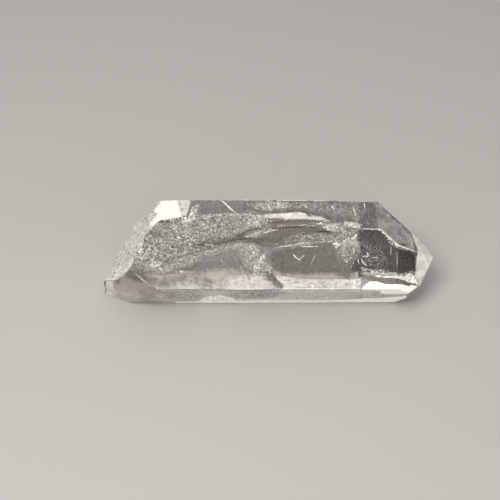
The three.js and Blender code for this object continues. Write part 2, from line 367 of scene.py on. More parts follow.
@dataclass(frozen=True)
class Prism:
    """The unbroken crystal: six prism faces with growth ledges, and the six faces of the point.

    All sizes are in millimetres, with x along the crystal from the middle of its length, and y
    and z in its section from the lower front edge.
    """

    lean: float = math.radians(38.21)
    faces: tuple[Face, ...] = (
        Face(11.9, 36.6, ((-4, 0.06), (17, 0.08))),
        Face(16.5, 33.3, ((-12.5, 0.05), (22.2, 0.08))),
        Face(11.5, 28.1, ((-60, 0.04), (2, 0.08), (12, 0.1), (20.5, 0.12), (24, 0.1), (26.3, 0.12))),
        Face(16.2, 28.5, ((-6, 0.1), (8, 0.12), (18, 0.15), (23.5, 0.15))),
        Face(12.2, 24, ((-18, 0.08), (-2, 0.12), (12, 0.15), (19, 0.12))),
        Face(15.8, 37),
    )
    tip: float = 43.84

    @property
    def outward(self) -> Array:
        """Outward directions of the six sides in the section, each 60 degrees on from the last."""
        turn = np.radians(60.0 * ((np.arange(6) + 4) % 6))
        return np.stack([np.sin(turn), np.cos(turn)], axis=-1)

    @property
    def along(self) -> Array:
        """Directions in which the six sides are walked."""
        out = self.outward
        return np.stack([out[:, 1], -out[:, 0]], axis=-1)

    @property
    def starts(self) -> Array:
        """Where each side starts in the section, from the lower front edge."""
        widths = np.array([face.width for face in self.faces])
        steps = self.along * widths[:, None]
        return np.vstack([np.zeros((1, 2)), np.cumsum(steps, axis=0)[:-1]])

    def stops(self) -> list[float]:
        """Every x at which a ledge or a face of the point starts or ends."""
        places = [face.point_start for face in self.faces]
        for face in self.faces:
            for start, height in face.ledges:
                places += [start, start + height / math.tan(self.lean)]
        return places

    def reach(self, x: Array) -> Array:
        """How far out each side lies at x.

        Formula: the side's own distance, less the ledges that it has stepped in by, or less the
        lean of its face of the point once that is deeper. A side that has run out lies where its
        two neighbours meet, at the sum of their distances.

        Args:
            x: Places along the crystal.

        Returns:
            Distances, with the six sides first.
        """
        slope = math.tan(self.lean)
        full = np.einsum("ij,ij->i", self.outward, self.starts)
        rows = []
        for face, distance in zip(self.faces, full):
            stepped = np.zeros_like(x)
            for start, height in face.ledges:
                stepped += height * np.clip((x - start) * slope / height, 0.0, 1.0)
            rows.append(distance - np.maximum(stepped, (x - face.point_start) * slope))
        reach = np.stack(rows)
        return np.minimum(reach, np.roll(reach, 1, axis=0) + np.roll(reach, -1, axis=0))

    def corners(self, x: Array) -> Array:
        """The six corners of the section at x, each where a side starts.

        Formula: the crossing of the side's line with the line of the side before it.

        Args:
            x: Places along the crystal.

        Returns:
            Corners as y and z last, with the six sides first.
        """
        reach = self.reach(x)
        found = []
        for i in range(6):
            n1, n2 = self.outward[i - 1], self.outward[i]
            d1, d2 = reach[i - 1], reach[i]
            det = n1[0] * n2[1] - n1[1] * n2[0]
            y, z = (d1 * n2[1] - d2 * n1[1]) / det, (d2 * n1[0] - d1 * n2[0]) / det
            found.append(np.stack([y, z], axis=-1))
        return np.stack(found)


@dataclass(frozen=True)
class Ledge:
    """A ledge that runs along the break: its share of the break's width and its drop, at each x."""

    x: tuple[float, ...]
    share: tuple[float, ...]
    drop: tuple[float, ...]

    def at(self, x: Array) -> Array:
        """The ledge's share of the break's width at x."""
        return np.interp(x, self.x, self.share)

    def fall(self, x: Array) -> Array:
        """How far the surface drops at the ledge, at x."""
        return np.interp(x, self.x, self.drop)


@dataclass(frozen=True)
class BrokenEdge:
    """The long shell-like break along the edge between the top and the upper front face."""

    # At each x: how far back on the top it starts, and how far down the front it ends.
    x: tuple[float, ...] = (-50, -36.3, -30.5, -27.5, -24.4, -20.5, -17.8, -11.4, -7.5, -4.9,
                            -1.8, 2.1, 8, 13.4, 17.2, 19.7, 22.3, 23.6, 27, 44)
    back: tuple[float, ...] = (4.2, 4.2, 4.2, 4.2, 4.4, 4.8, 5.4, 5.9, 5.8, 5.6,
                               4.8, 5.6, 6.3, 5, 2.6, 1.2, 0.6, 0.15, 2.5, 1.2)
    down: tuple[float, ...] = (12.6, 10.7, 9.9, 10.3, 8.2, 7.2, 6.2, 4.9, 3.8, 4.2,
                               5.1, 5.3, 4.4, 4, 3.6, 3.5, 2.6, 0.3, 2.5, 1.2)
    end: float = 23.6
    ledges: tuple[Ledge, ...] = (
        Ledge((-50, -30, -24, -18, -15, -13.8, -12.2, -10.6, -8.8, -7.3, -6.6, -5.9, -4.9, -3.6, -1.8, 0,
            3.5, 8.2, 10, 13, 24), (0.3, 0.34, 0.46, 0.57, 0.61, 0.69, 0.74, 0.76, 0.76, 0.74, 0.66, 0.59,
            0.53, 0.46, 0.35, 0.27, 0.21, 0.238, 0.225, 0.2, 0.2), (0.1, 0.3, 0.25, 0.3, 0.4, 0.5, 0.5, 0.4,
            0.35, 0.6, 0.95, 1.00, 0.95, 0.75, 0.45, 0.25, 0.3, 0.3, 0.22, 0.05, 0.02)),
        Ledge((-50, -27, -22, -19, -16.6, -14.5, -13.2, -11.4, -9.6, -7.5, -5.4, -3.6, -1.8, -0.2, 1.9, 3.5,
            8.2, 9.7, 11.3, 14, 17, 24), (0.62, 0.66, 0.72, 0.76, 0.84, 0.877, 0.867, 0.841, 0.85, 0.875,
            0.8, 0.64, 0.49, 0.42, 0.4, 0.385, 0.43, 0.36, 0.31, 0.33, 0.34, 0.4), (0.3, 0.35, 0.35, 0.35,
            0.45, 0.6, 0.65, 0.6, 0.55, 0.6, 0.75, 0.85, 0.8, 0.7, 0.5, 0.5, 0.42, 0.35, 0.25, 0.15, 0.3,
            0.02)),
        Ledge((-50, -30, -24, -19, -15, -9, -5, -3.6, -1.8, 0.3, 4.2, 6, 8.1, 10.8, 13.4, 15.9, 20, 24),
            (0.85, 0.87, 0.9, 0.92, 0.945, 0.945, 0.91, 0.87, 0.81, 0.775, 0.787, 0.751, 0.678, 0.561,
            0.517, 0.46, 0.55, 0.6), (0.25, 0.35, 0.35, 0.25, 0.2, 0.1, 0.1, 0.12, 0.15, 0.12, 0.12, 0.18,
            0.28, 0.35, 0.4, 0.45, 0.35, 0.02)),
    )
    hollow: float = 0.35
    climb: float = 2.2
    full_width: float = 6.0
    grain: float = 0.85
    grain_height: float = 0.62
    # Sizes and heights: of finer grains as shares of the main one's size, of lumps, and of ripples.
    fine: Pair = (0.45, 0.3)
    lumps: Pair = (2.6, 0.20)
    ripples: tuple[Pair, Pair] = ((0.8, 0.11), (2.1, 0.16))
    ripple_stretch: Triple = (0.16, 1.0, 1.0)
    granular: tuple[Patch, ...] = (
        Patch(-27.5, 0.66, 12, 0.62), Patch(-36, 0.55, 6, 0.7, 0.8), Patch(-12, 0.28, 14, 0.58),
        Patch(-4.4, 0.22, 4.6, 0.52), Patch(12.5, 0.8, 9.5, 0.26, 0.9), Patch(20.5, 0.45, 4, 0.9, 0.9),
        Patch(-28, 0.2, 5.5, 0.16, -0.8), Patch(-20.5, 1.00, 5, 0.18, -0.7),
    )

    def shares(self, x: Array) -> Array:
        """The shares of the break's width at its top rim, its ledges and its front rim."""
        return np.stack([np.zeros_like(x)] + [ledge.at(x) for ledge in self.ledges] + [np.ones_like(x)])

    def share(self, x: Array, place: Array) -> Array:
        """Turns an even place across the break into a share of its width that follows the ledges.

        Formula: the place runs through as many equal bands as there are stretches between ledges,
        and each band is stretched over its own stretch.

        Args:
            x: Places along the crystal.
            place: Places across the break from 0 at the top's rim to 1 at the front's rim.

        Returns:
            Shares from 0 to 1.
        """
        stops = self.shares(x)
        bands = len(stops) - 1
        band = np.clip(np.floor(place * bands).astype(int), 0, bands - 1)
        low, high = (np.take_along_axis(stops, band[None] + k, axis=0)[0] for k in (0, 1))
        return low + (high - low) * (place * bands - band)

    def depth(self, x: Array, share: Array, points: Array) -> Array:
        """How deep the break lies under the straight line between its rims.

        Formula: a shallow parabola, plus for each ledge a drop just past it that stays nearly as
        deep until it climbs to the front rim, plus grains where the break is granular and long
        fine ripples where it is smooth, which fade at both rims.

        Args:
            x: Places along the crystal.
            share: Shares of the break's width.
            points: The same places in space, for the grains.

        Returns:
            Depths in millimetres.
        """
        depth = self.hollow * 4.0 * share * (1.0 - share)
        for ledge in self.ledges:
            at = ledge.at(x)
            past = np.clip((share - at) / (1.0 - at), 0.0, 1.0)
            depth += np.where(share > at, ledge.fall(x) * (1.0 - past**self.climb), 0.0)
        rough = cover_of(self.granular, x, share)
        grains = grain_facets(points, self.grain, 11) * self.grain * self.grain_height
        fine = grain_facets(points, self.grain * self.fine[0], 17) * self.grain * self.fine[1]
        lumps = soft_noise(points, self.lumps[0], 5) * self.lumps[1]
        stretched = points * np.array(self.ripple_stretch)
        (short, low), (broad, high) = self.ripples
        ripples = soft_noise(stretched, short, 8) * low + soft_noise(stretched, broad, 9) * high
        rim = np.minimum(1.0, 9.0 * np.minimum(share, 1.0 - share))
        return depth + rim * ((grains + fine + lumps) * rough + ripples * (1.1 - rough))


@dataclass(frozen=True)
class BrokenBase:
    """The rough broken base: a leaning surface with a low lip at its front and shell-like ribs."""

    x: float = -45.15
    per_y: float = 0.117
    per_z: float = 0.611
    lip_reach: float = 2.5
    lip_crest: float = 6.2
    lip_end: float = 8.4
    lip_front: float = 2.0
    lip_back: float = 12.0
    # Each rib family: the centre in the section, the spacing and the height.
    ribs: tuple[tuple[float, float, float, float], ...] = ((24.0, 27.0, 4.4, 0.36), (-6.0, 2.0, 3.4, 0.12))
    grain: float = 1.1
    grain_height: float = 0.36
    # The lumps' size and height.
    lumps: Pair = (2.4, 0.2)

    def surface(self, section: Array) -> Array:
        """The x of the broken base over the section.

        Formula: a plane that leans with y and z, less a lip that climbs to its crest and falls
        away behind, plus rings of zigzag ribs, tilted grains and soft lumps.

        Args:
            section: Places as y and z last.

        Returns:
            The x at each place.
        """
        y, z = section[..., 0], section[..., 1]
        rise = np.minimum(z / self.lip_crest, (self.lip_end - z) / (self.lip_end - self.lip_crest))
        near = 1.0 - eased(np.clip((y - self.lip_front) / (self.lip_back - self.lip_front), 0.0, 1.0))
        x = self.x + self.per_y * y + self.per_z * z - self.lip_reach * np.clip(rise, 0.0, None) * near
        for rib_y, rib_z, spacing, tall in self.ribs:
            away = np.hypot(y - rib_y, z - rib_z) / spacing
            x = x + tall * (1.0 - 4.0 * np.abs(away - np.floor(away) - 0.5))
        flat = np.stack([np.zeros_like(y), y, z], axis=-1)
        x = x + grain_facets(flat, self.grain, 31) * self.grain * self.grain_height
        return x + soft_noise(flat, self.lumps[0], 37) * self.lumps[1]


@dataclass(frozen=True)
class Facet:
    """A flat facet that cuts a corner off: a point on it, its outward direction and its finish."""

    through: Triple
    facing: Triple
    zone: Zone = Zone.CLEAR

    @property
    def outward(self) -> Array:
        """The facet's outward direction, one long."""
        return unit(np.array(self.facing))

    def beyond(self, points: Array) -> Array:
        """How far each point lies outside the facet's plane."""
        return (points - np.array(self.through)) @ self.outward


@dataclass(frozen=True)
class Form:
    """The crystal's whole form: any place along it and round it gives a point of its skin."""

    prism: Prism = field(default_factory=Prism)
    edge: BrokenEdge = field(default_factory=BrokenEdge)
    base: BrokenBase = field(default_factory=BrokenBase)
    # How much of the top's and of the upper front's width the break may take.
    most_back: float = 0.6
    most_down: float = 0.9

    def nodes(self, x: Array) -> Array:
        """The eight points of the section between which the strips of the skin run."""
        corners = self.prism.corners(x)
        sharp = corners[Side.TOP]
        back = np.interp(x, self.edge.x, self.edge.back)[..., None]
        down = np.interp(x, self.edge.x, self.edge.down)[..., None]
        top = np.linalg.norm(corners[Side.BACK_UPPER] - sharp, axis=-1)[..., None]
        front = np.linalg.norm(corners[Side.FRONT_UPPER] - sharp, axis=-1)[..., None]
        rim_top = sharp + self.prism.along[Side.TOP] * np.minimum(back, self.most_back * top)
        rim_front = sharp - self.prism.along[Side.FRONT_UPPER] * np.minimum(down, self.most_down * front)
        return np.stack([corners[0], *corners[:2:-1], rim_top, rim_front, corners[1], corners[0]])

    def skin(self, x: Array, girth: Array) -> Array:
        """The point of the skin at each place.

        Formula: the place is carried along the straight line between the two section points that
        bound its strip. In the break it is carried between the rims and pressed in by the
        break's depth. Past the break's end the strip folds over the sharp edge.

        Args:
            x: Places along the crystal.
            girth: Places round it, from -4 to 3.

        Returns:
            Points in the crystal's own millimetres, with x, y and z last.
        """
        nodes = self.nodes(x)
        strip = strip_of(girth)
        share = girth + 4.0 - strip
        a, b = (np.take_along_axis(nodes, strip[None, ..., None] + k, axis=0)[0] for k in (0, 1))
        line = a + (b - a) * share[..., None]
        rim_top, rim_front = nodes[4], nodes[5]
        out = unit(self.prism.outward[Side.TOP] + self.prism.outward[Side.FRONT_UPPER])
        width = np.linalg.norm(rim_front - rim_top, axis=-1)
        solid = np.concatenate([x[..., None], line], axis=-1)
        inside = np.clip(share, 0.0, 1.0)
        depth = np.minimum(1.0, width / self.edge.full_width) * self.edge.depth(x, inside, solid)
        sharp = self.prism.corners(x)[Side.TOP]
        half = np.clip(2.0 * share, 0.0, 1.0)[..., None]
        rest = np.clip(2.0 * share - 1.0, 0.0, 1.0)[..., None]
        folded = rim_top + (sharp - rim_top) * half + (rim_front - sharp) * rest
        broken = np.where((x < self.edge.end)[..., None], line - out * depth[..., None], folded)
        section = np.where((strip == 4)[..., None], broken, line)
        return np.concatenate([x[..., None], section], axis=-1)

    def outward(self, x: Array, girth: Array) -> Array:
        """The general outward direction at each place, without the small relief.

        Formula: the strip's own side's direction, or in the break the mean of the top's and the
        upper front's.

        Args:
            x: Places along the crystal.
            girth: Places round it.

        Returns:
            Unit directions, with x, y and z last.
        """
        o = self.prism.outward
        ways = np.stack([*o[:1:-1], unit(o[Side.TOP] + o[Side.FRONT_UPPER]), o[1], o[0]])
        return np.concatenate([np.zeros(x.shape)[..., None], ways[strip_of(girth)]], axis=-1)

    def place(self, x: Array, girth: Array, depth: Array) -> Array:
        """A point at a depth under the skin, or under a clear facet where one has cut the skin away.

        Formula: the skin's point goes back by the depth against the outward direction. What then
        lies beyond a clear facet's plane at that depth is moved straight down onto it.

        Args:
            x: Places along the crystal.
            girth: Places round it.
            depth: Depths in millimetres. Just outside the skin they are negative.

        Returns:
            Points, with x, y and z last.
        """
        points = self.skin(x, girth) - self.outward(x, girth) * depth[..., None]
        for facet in self.facets():
            if facet.zone is Zone.CLEAR:
                beyond = np.clip(facet.beyond(points) + depth, 0.0, None)
                points = points - beyond[..., None] * facet.outward
        return points

    def facets(self) -> list[Facet]:
        """The flat facets that cut corners off the crystal: heel, shoulder, its worn corner, and tip."""
        starts = self.prism.starts
        edge = np.array([-28.9, *starts[Side.FRONT_UPPER]])
        heel = np.cross(np.array([-36.3, -3.2, 15.1]) - edge, np.array([-37.0, 0.0, 0.0]) - edge)
        top = starts[Side.TOP][1]
        back = np.array([-20.0, 13.9, top])
        shoulder = np.cross(back - np.array([-21.1, 6.5, top]), np.array([-1.0, 0.0, -0.085]))
        return [
            Facet(tuple(edge), tuple(heel)),
            Facet(tuple(back), tuple(shoulder), Zone.WHITE),
            Facet((-27.2, 13.9, top), (-0.5, 0.0, 0.86), Zone.WHITE),
            Facet((43.9, 0.0, 12.0), (0.73, 0.0, -0.62)),
        ]

    def within(self, points: Array, margin: float) -> Array:
        """Whether each point lies inside the broken base and the white facets by a margin."""
        inside = points[..., 0] > self.base.surface(points[..., 1:]) + margin
        for facet in self.facets():
            if facet.zone is Zone.WHITE:
                inside &= facet.beyond(points) < -margin
        return inside

    def to_frame(self, points: Array) -> Array:
        """Moves points from the crystal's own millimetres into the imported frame, in metres."""
        low, high = (np.array(corner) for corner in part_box(NODE))
        front = low[1] - self.prism.starts[Side.FRONT_UPPER][0] * MM
        return points * MM + np.array([high[0] - END_X * MM, front, low[2]])


FORM = Form()


@dataclass(frozen=True)
class Chip:
    """A small shell-like chip: a ball, stretched, turned about z, and pressed into the surface."""

    at: Triple
    half: Triple
    turn: float = 0.0

    def press(self, points: Array) -> Array:
        """Pushes the points inside the ball straight out to its skin.

        Formula: a point is measured from the ball's middle in the ball's own turned and stretched
        axes. Where that distance is under 1, the point moves out along the same line to 1.

        Args:
            points: Places in millimetres, with x, y and z last.

        Returns:
            The moved places.
        """
        c, s = math.cos(self.turn), math.sin(self.turn)
        turned = np.array([[c, s, 0.0], [-s, c, 0.0], [0.0, 0.0, 1.0]])
        local = (points - np.array(self.at)) @ turned.T / np.array(self.half)
        far = np.linalg.norm(local, axis=-1, keepdims=True)
        pushed = np.where(far < 1.0, local / np.maximum(far, 1e-6), local)
        return pushed * np.array(self.half) @ turned + np.array(self.at)


def linked(name: str, data: bpy.types.ID) -> bpy.types.Object:
    """Makes an object from its data and puts it into the scene."""
    made = bpy.data.objects.new(name, data)
    bpy.context.collection.objects.link(made)
    return made


@dataclass(frozen=True)
class CrystalBody:
    """The whole outer skin of the crystal as one closed mesh."""

    row_pitch: float = 0.26
    # Where the slanted rows meet the straight ones, where the base is first looked for, and how often.
    meet_x: float = -22.0
    first_guess: float = -37.0
    tries: int = 24
    # How late in its band of the break the first line starts, so that every ledge has a riser.
    riser: float = 0.04
    base_rows: int = 68
    base_rings: int = 40
    sharp_angle: float = math.radians(14.0)
    mottled_from: Triple = (-24.0, 12.0, 24.0)
    mottled_way: Triple = (1.0, 0.25, 0.0)
    # How many columns each strip has, by where it starts.
    columns: dict[Girth, int] = field(default_factory=lambda: {
        Girth.BOTTOM: 10, Girth.BACK_LOWER: 12, Girth.BACK_UPPER: 16, Girth.TOP: 26,
        Girth.BREAK: 80, Girth.FRONT_UPPER: 42, Girth.FRONT_LOWER: 18})
    chips: tuple[Chip, ...] = (
        Chip((-12.4, -0.9, 0), (3.7, 1.5, 0.9)),
        Chip((-20.2, 14.2, 25.1), (1.3, 1.6, 0.9), 0.3),
        Chip((-35.9, 20.8, 13.6), (1.5, 1.2, 1.6), 0.2),
        Chip((-40.2, 19, 4.6), (1.3, 1.2, 1.4), 0.1),
        Chip((-30.6, 14.6, 25), (2.6, 2.6, 1.5), 0.2),
        Chip((29, 1.9, 24.6), (1.1, 0.9, 0.5), 0.5),
        Chip((30.6, 1.1, 23.4), (1, 0.7, 0.8), -0.4),
        Chip((32.3, 0.3, 22), (1.2, 0.8, 0.7), 0.3),
        Chip((34.2, -0.1, 20.3), (0.9, 0.6, 0.7), -0.2),
        Chip((18.1, 0.8, 22), (1.6, 0.9, 1), 0.1),
        Chip((19.9, 1.4, 23.2), (1.2, 1, 0.8), 0.4),
        Chip((16.2, 2.6, 23.6), (1.3, 1.2, 0.7), -0.3),
        Chip((35.2, -5.9, 10), (1.1, 0.6, 0.8), 0.2),
    )

    def girths(self) -> Array:
        """The column lines round the crystal.

        Formula: each strip has evenly spaced lines that leave out its last edge. The break's
        lines start each of its bands a hair late, so that every ledge has a riser.

        Returns:
            Girths from -4 to just under 3. In the break the fraction is still the even place.
        """
        lines = []
        for start, count in self.columns.items():
            place = np.arange(count) / count
            if start is Girth.BREAK:
                bands = len(FORM.edge.ledges) + 1
                within = np.tile(np.linspace(self.riser, 1.0 - self.riser, count // bands), bands)
                place = (np.repeat(np.arange(bands), count // bands) + within) / bands
            lines.append(int(start) + place)
        return np.concatenate(lines)

    def follow(self, x: Array, lines: Array) -> Array:
        """Bends the break's even lines so that they run along its ledges."""
        lines = np.broadcast_to(lines, x.shape)
        in_break = (lines >= 0.0) & (lines < 1.0)
        share = FORM.edge.share(x, np.where(in_break, lines, 0.5))
        return np.where(in_break & (x < FORM.edge.end), share, lines)

    def base_line(self, lines: Array) -> Array:
        """The x at which each column meets the broken base.

        Formula: start near the base, take the base's x at the column's own section point, and
        repeat with half steps until it settles.

        Args:
            lines: The column lines.

        Returns:
            One x for each column.
        """
        x = np.full((1, lines.size), self.first_guess)
        for _ in range(self.tries):
            section = FORM.skin(x, self.follow(x, lines))[..., 1:]
            x = 0.5 * x + 0.5 * FORM.base.surface(section)
        return x[0]

    def rows(self) -> Array:
        """The straight rows: evenly spaced, with one at every ledge and at the start of each face."""
        even = np.arange(self.meet_x, FORM.prism.tip, self.row_pitch)
        stops = np.array([s for s in FORM.prism.stops() if s > self.meet_x + 0.1] + [FORM.edge.end])
        clear = np.abs(even[:, None] - stops[None, :]).min(axis=1) > 0.3 * self.row_pitch
        return np.sort(np.concatenate([even[clear], stops, [FORM.prism.tip]]))

    def build(self) -> bpy.types.Object:
        """Builds the closed skin, presses the chips in and cuts the flat facets.

        Formula: rings of columns run from the broken base, where each column has its own x, to
        the tip. The base is closed by rings that shrink to the middle of its rim.

        Returns:
            The mesh object, with a material index for each zone.
        """
        lines = self.girths()
        columns = lines.size
        first = self.base_line(lines)
        blend = np.linspace(0.0, 1.0, self.base_rows, endpoint=False)[:, None]
        slanted = first[None, :] + (self.meet_x - first[None, :]) * blend
        straight = np.repeat(self.rows()[:, None], columns, axis=1)
        x = np.vstack([slanted, straight])
        girth = self.follow(x, lines)
        skin = FORM.skin(x, girth)

        rim = skin[0][:, 1:]
        middle = rim.mean(axis=0)
        shrink = np.linspace(1.0, 0.0, self.base_rings, endpoint=False)[1:, None, None]
        inner = middle + (rim - middle) * shrink
        cap = np.concatenate([FORM.base.surface(inner)[..., None], inner], axis=-1)
        centre = np.array([[float(FORM.base.surface(middle[None])[0]), *middle]])
        tip = np.array([[FORM.prism.tip, *skin[-1][:, 1:].mean(axis=0)]])

        points = np.vstack([cap[::-1].reshape(-1, 3), skin.reshape(-1, 3), centre, tip])
        for chip in self.chips:
            points = chip.press(points)
        rings = cap.shape[0] + skin.shape[0]
        zones = np.full((rings - 1, columns), int(Zone.BASE))
        zones[cap.shape[0]:] = self.zones(x[:-1], girth[:-1])
        last = rings * columns
        ring = np.arange(columns)
        end = (rings - 1) * columns + ring
        fan_base = np.stack([ring, np.roll(ring, -1), np.full(columns, last)], axis=-1)
        fan_tip = np.stack([np.roll(end, -1), end, np.full(columns, last + 1)], axis=-1)
        faces = [*ring_quads(rings, columns).tolist(), *fan_base.tolist(), *fan_tip.tolist()]
        ends = [np.full(columns, int(zone)) for zone in (Zone.BASE, Zone.CLEAR)]
        mesh = bpy.data.meshes.new("crystal")
        mesh.from_pydata(FORM.to_frame(points).tolist(), [], faces)
        slots = np.concatenate([zones.reshape(-1), *ends]).astype(np.int32)
        mesh.polygons.foreach_set("material_index", slots)
        self.finish_mesh(mesh)
        return linked("crystal", mesh)

    def zones(self, x: Array, girth: Array) -> Array:
        """The finish of each quad of the skin.

        Formula: in the break a quad is granular where the granular cover beats a patchy noise,
        and shell-like elsewhere. Outside the break it is clear.

        Args:
            x: Places along the crystal.
            girth: Places round it.

        Returns:
            Zone numbers.
        """
        spots = np.stack([0.8 * x + 7.0 * girth, 8.0 * girth - 0.6 * x, 0.3 * x], axis=-1)
        ragged = 0.45 + 0.30 * soft_noise(spots, 0.45, 51)
        granular = cover_of(FORM.edge.granular, x, girth) > ragged
        broken = np.where(granular, int(Zone.GRANULAR), int(Zone.SHELL))
        in_break = (girth >= 0.0) & (girth < 1.0) & (x < FORM.edge.end)
        return np.where(in_break, broken, int(Zone.CLEAR))

    def mottle(self, bm: bmesh.types.BMesh, faces: list[bmesh.types.BMFace]) -> None:
        """Parts the white facet by a slanting line and gives its right end the mottled finish."""
        place = Vector(FORM.to_frame(np.array([self.mottled_from]))[0])
        way = Vector(self.mottled_way)
        edges = {edge for face in faces for edge in face.edges}
        verts = {vert for face in faces for vert in face.verts}
        cut = bmesh.ops.bisect_plane(bm, geom=[*faces, *edges, *verts], dist=ON_CUT,
                                     plane_co=place, plane_no=way)
        for face in (part for part in cut["geom"] if isinstance(part, bmesh.types.BMFace)):
            if (face.calc_center_median() - place).dot(way) > 0.0:
                face.material_index = Zone.MOTTLED

    def finish_mesh(self, mesh: bpy.types.Mesh) -> None:
        """Merges doubles, cuts the facets flat, fills the cuts and marks the sharp edges.

        Args:
            mesh: The crystal's mesh, changed in place.
        """
        bm = bmesh.new()
        bm.from_mesh(mesh)
        bmesh.ops.remove_doubles(bm, verts=bm.verts, dist=MERGE)
        for facet in FORM.facets():
            bmesh.ops.bisect_plane(bm, geom=bm.verts[:] + bm.edges[:] + bm.faces[:], dist=ON_CUT,
                                   plane_co=Vector(FORM.to_frame(np.array([facet.through]))[0]),
                                   plane_no=Vector(facet.facing).normalized(), clear_outer=True)
            rim = [edge for edge in bm.edges if edge.is_boundary]
            made = bmesh.ops.holes_fill(bm, edges=rim, sides=0)
            for face in made["faces"]:
                face.material_index = facet.zone
            if facet.zone is Zone.WHITE:
                self.mottle(bm, made["faces"])
            bmesh.ops.triangulate(bm, faces=[face for face in made["faces"] if face.is_valid])
        bmesh.ops.recalc_face_normals(bm, faces=bm.faces)
        bm.to_mesh(mesh)
        bm.free()
        mesh.polygons.foreach_set("use_smooth", np.ones(len(mesh.polygons), bool))
        mesh.set_sharp_from_angle(angle=self.sharp_angle)
        mesh.update()


# ---- Inclusions, cracks, and the films that carry painted light and shade ----


def mesh_object(name: str, points: Array, faces: Array, cover: Array | None = None) -> bpy.types.Object:
    """Makes a mesh object from points in the crystal's own millimetres, kept inside the frame's box.

    Args:
        name: The object's name.
        points: Points, with x, y and z last.
        faces: Point numbers of each face.
        cover: How strongly the piece shows at each point, kept as the attribute "cover".

    Returns:
        The new object.
    """
    mesh = bpy.data.meshes.new(name)
    low, high = (np.array(corner) for corner in CAD_BOX)
    inside = np.clip(FORM.to_frame(points), low, high)
    mesh.from_pydata(inside.tolist(), [], faces.tolist())
    if cover is not None:
        mesh.attributes.new("cover", "FLOAT", "POINT").data.foreach_set("value", cover.astype(np.float32))
    mesh.update()
    return linked(name, mesh)


@dataclass(frozen=True)
class Cloud:
    """Many small splinters scattered over patches of the skin, at or under it."""

    patches: Patches
    count: int
    size: Pair
    depth: Pair = (-0.05, 0.05)
    long: float = 1.0
    seed: int = 1
    # How far along the crystal they reach, and how far inside the base they stay.
    ends: Pair = (-44.0, 42.5)
    margin: float = 0.1

    def mesh(self) -> tuple[Array, Array]:
        """The splinters' points and faces.

        Formula: places are thrown over the patches' box and kept where a random number is under
        their cover. Each gets a flat three-sided double pyramid, scaled and turned at random.

        Returns:
            Points and triangles.
        """
        random = np.random.default_rng(self.seed)
        thrown = random.uniform(*box_of(self.patches), size=(self.count * 30, 2))
        cover = cover_of(self.patches, thrown[:, 0], thrown[:, 1])
        kept = thrown[random.uniform(size=len(thrown)) < cover][: self.count]
        depth = random.uniform(*self.depth, size=len(kept))
        middle = FORM.place(np.clip(kept[:, 0], *self.ends), once_round(kept[:, 1]), depth)
        middle = middle[FORM.within(middle, self.margin)]
        count = len(middle)
        flat = [[1.0, 0.0, 0.0], [-0.5, 0.87, 0.0], [-0.5, -0.87, 0.0], [0.0, 0.0, 0.28], [0.0, 0.0, -0.28]]
        base = np.array(flat) + random.normal(scale=0.16, size=(count, 5, 3))
        base[:, :, 0] *= self.long
        size = self.size[0] + (self.size[1] - self.size[0]) * random.power(0.55, size=count)
        local = np.einsum("nij,nkj->nki", turns(random, count), base) * (0.5 * size)[:, None, None]
        triangles = np.array([[0, 1, 3], [1, 2, 3], [2, 0, 3], [1, 0, 4], [2, 1, 4], [0, 2, 4]])
        faces = (np.arange(count) * 5)[:, None, None] + triangles[None]
        return (middle[:, None, :] + local).reshape(-1, 3), faces.reshape(-1, 3)


@dataclass(frozen=True)
class Streak:
    """A thin line under the skin, for cracks, scratches and painted highlights: a flat ribbon with rounded
    section along a path.
    """

    path: tuple[Pair, ...]
    width: float
    depth: float
    thick: float
    wobble: float
    seed: int = 1
    step: float = 0.22

    def mesh(self) -> tuple[Array, Array]:
        """The ribbon's points and faces.

        Formula: the path is walked in even steps with a little noise. At each step stands a flat
        six-sided ring whose width follows the square root of a half sine, so both ends are
        pointed, and rings are joined by triangles.

        Returns:
            Points and triangles.
        """
        random = np.random.default_rng(self.seed)
        given = np.array(self.path)
        start = FORM.place(given[:, 0], given[:, 1], np.full(len(given), self.depth))
        run = np.concatenate([[0.0], np.cumsum(np.linalg.norm(np.diff(start, axis=0), axis=1))])
        steps = max(6, int(run[-1] / self.step))
        t = np.linspace(0.0, run[-1], steps)
        x, girth = np.interp(t, run, given[:, 0]), np.interp(t, run, given[:, 1])
        middle = FORM.place(x, girth, np.full(steps, self.depth))
        middle = np.stack([np.interp(t, run, start[:, k]) for k in range(3)], axis=-1) * 0.5 + middle * 0.5
        middle += random.normal(scale=self.wobble * self.width, size=middle.shape)
        out = FORM.outward(x, girth)
        across = np.cross(np.gradient(middle, axis=0), out)
        across /= np.linalg.norm(across, axis=1, keepdims=True) + 1e-9
        swell = np.sqrt(np.sin(np.pi * np.linspace(0.01, 0.99, steps)))
        swell *= random.uniform(0.6, 1.0, size=steps)
        angle = np.arange(6) * np.pi / 3.0
        side = np.cos(angle)[None, :, None] * across[:, None, :] * 0.5 * self.width
        rise = np.sin(angle)[None, :, None] * out[:, None, :] * 0.5 * self.thick
        points = middle[:, None, :] + (side + rise) * swell[:, None, None]
        cap = np.array([[0, k + 1, k] for k in range(1, 5)])
        end = cap[:, [0, 2, 1]] + (steps - 1) * 6
        return points.reshape(-1, 3), np.vstack([halves(ring_quads(steps, 6)[:, [0, 3, 2, 1]]), cap, end])


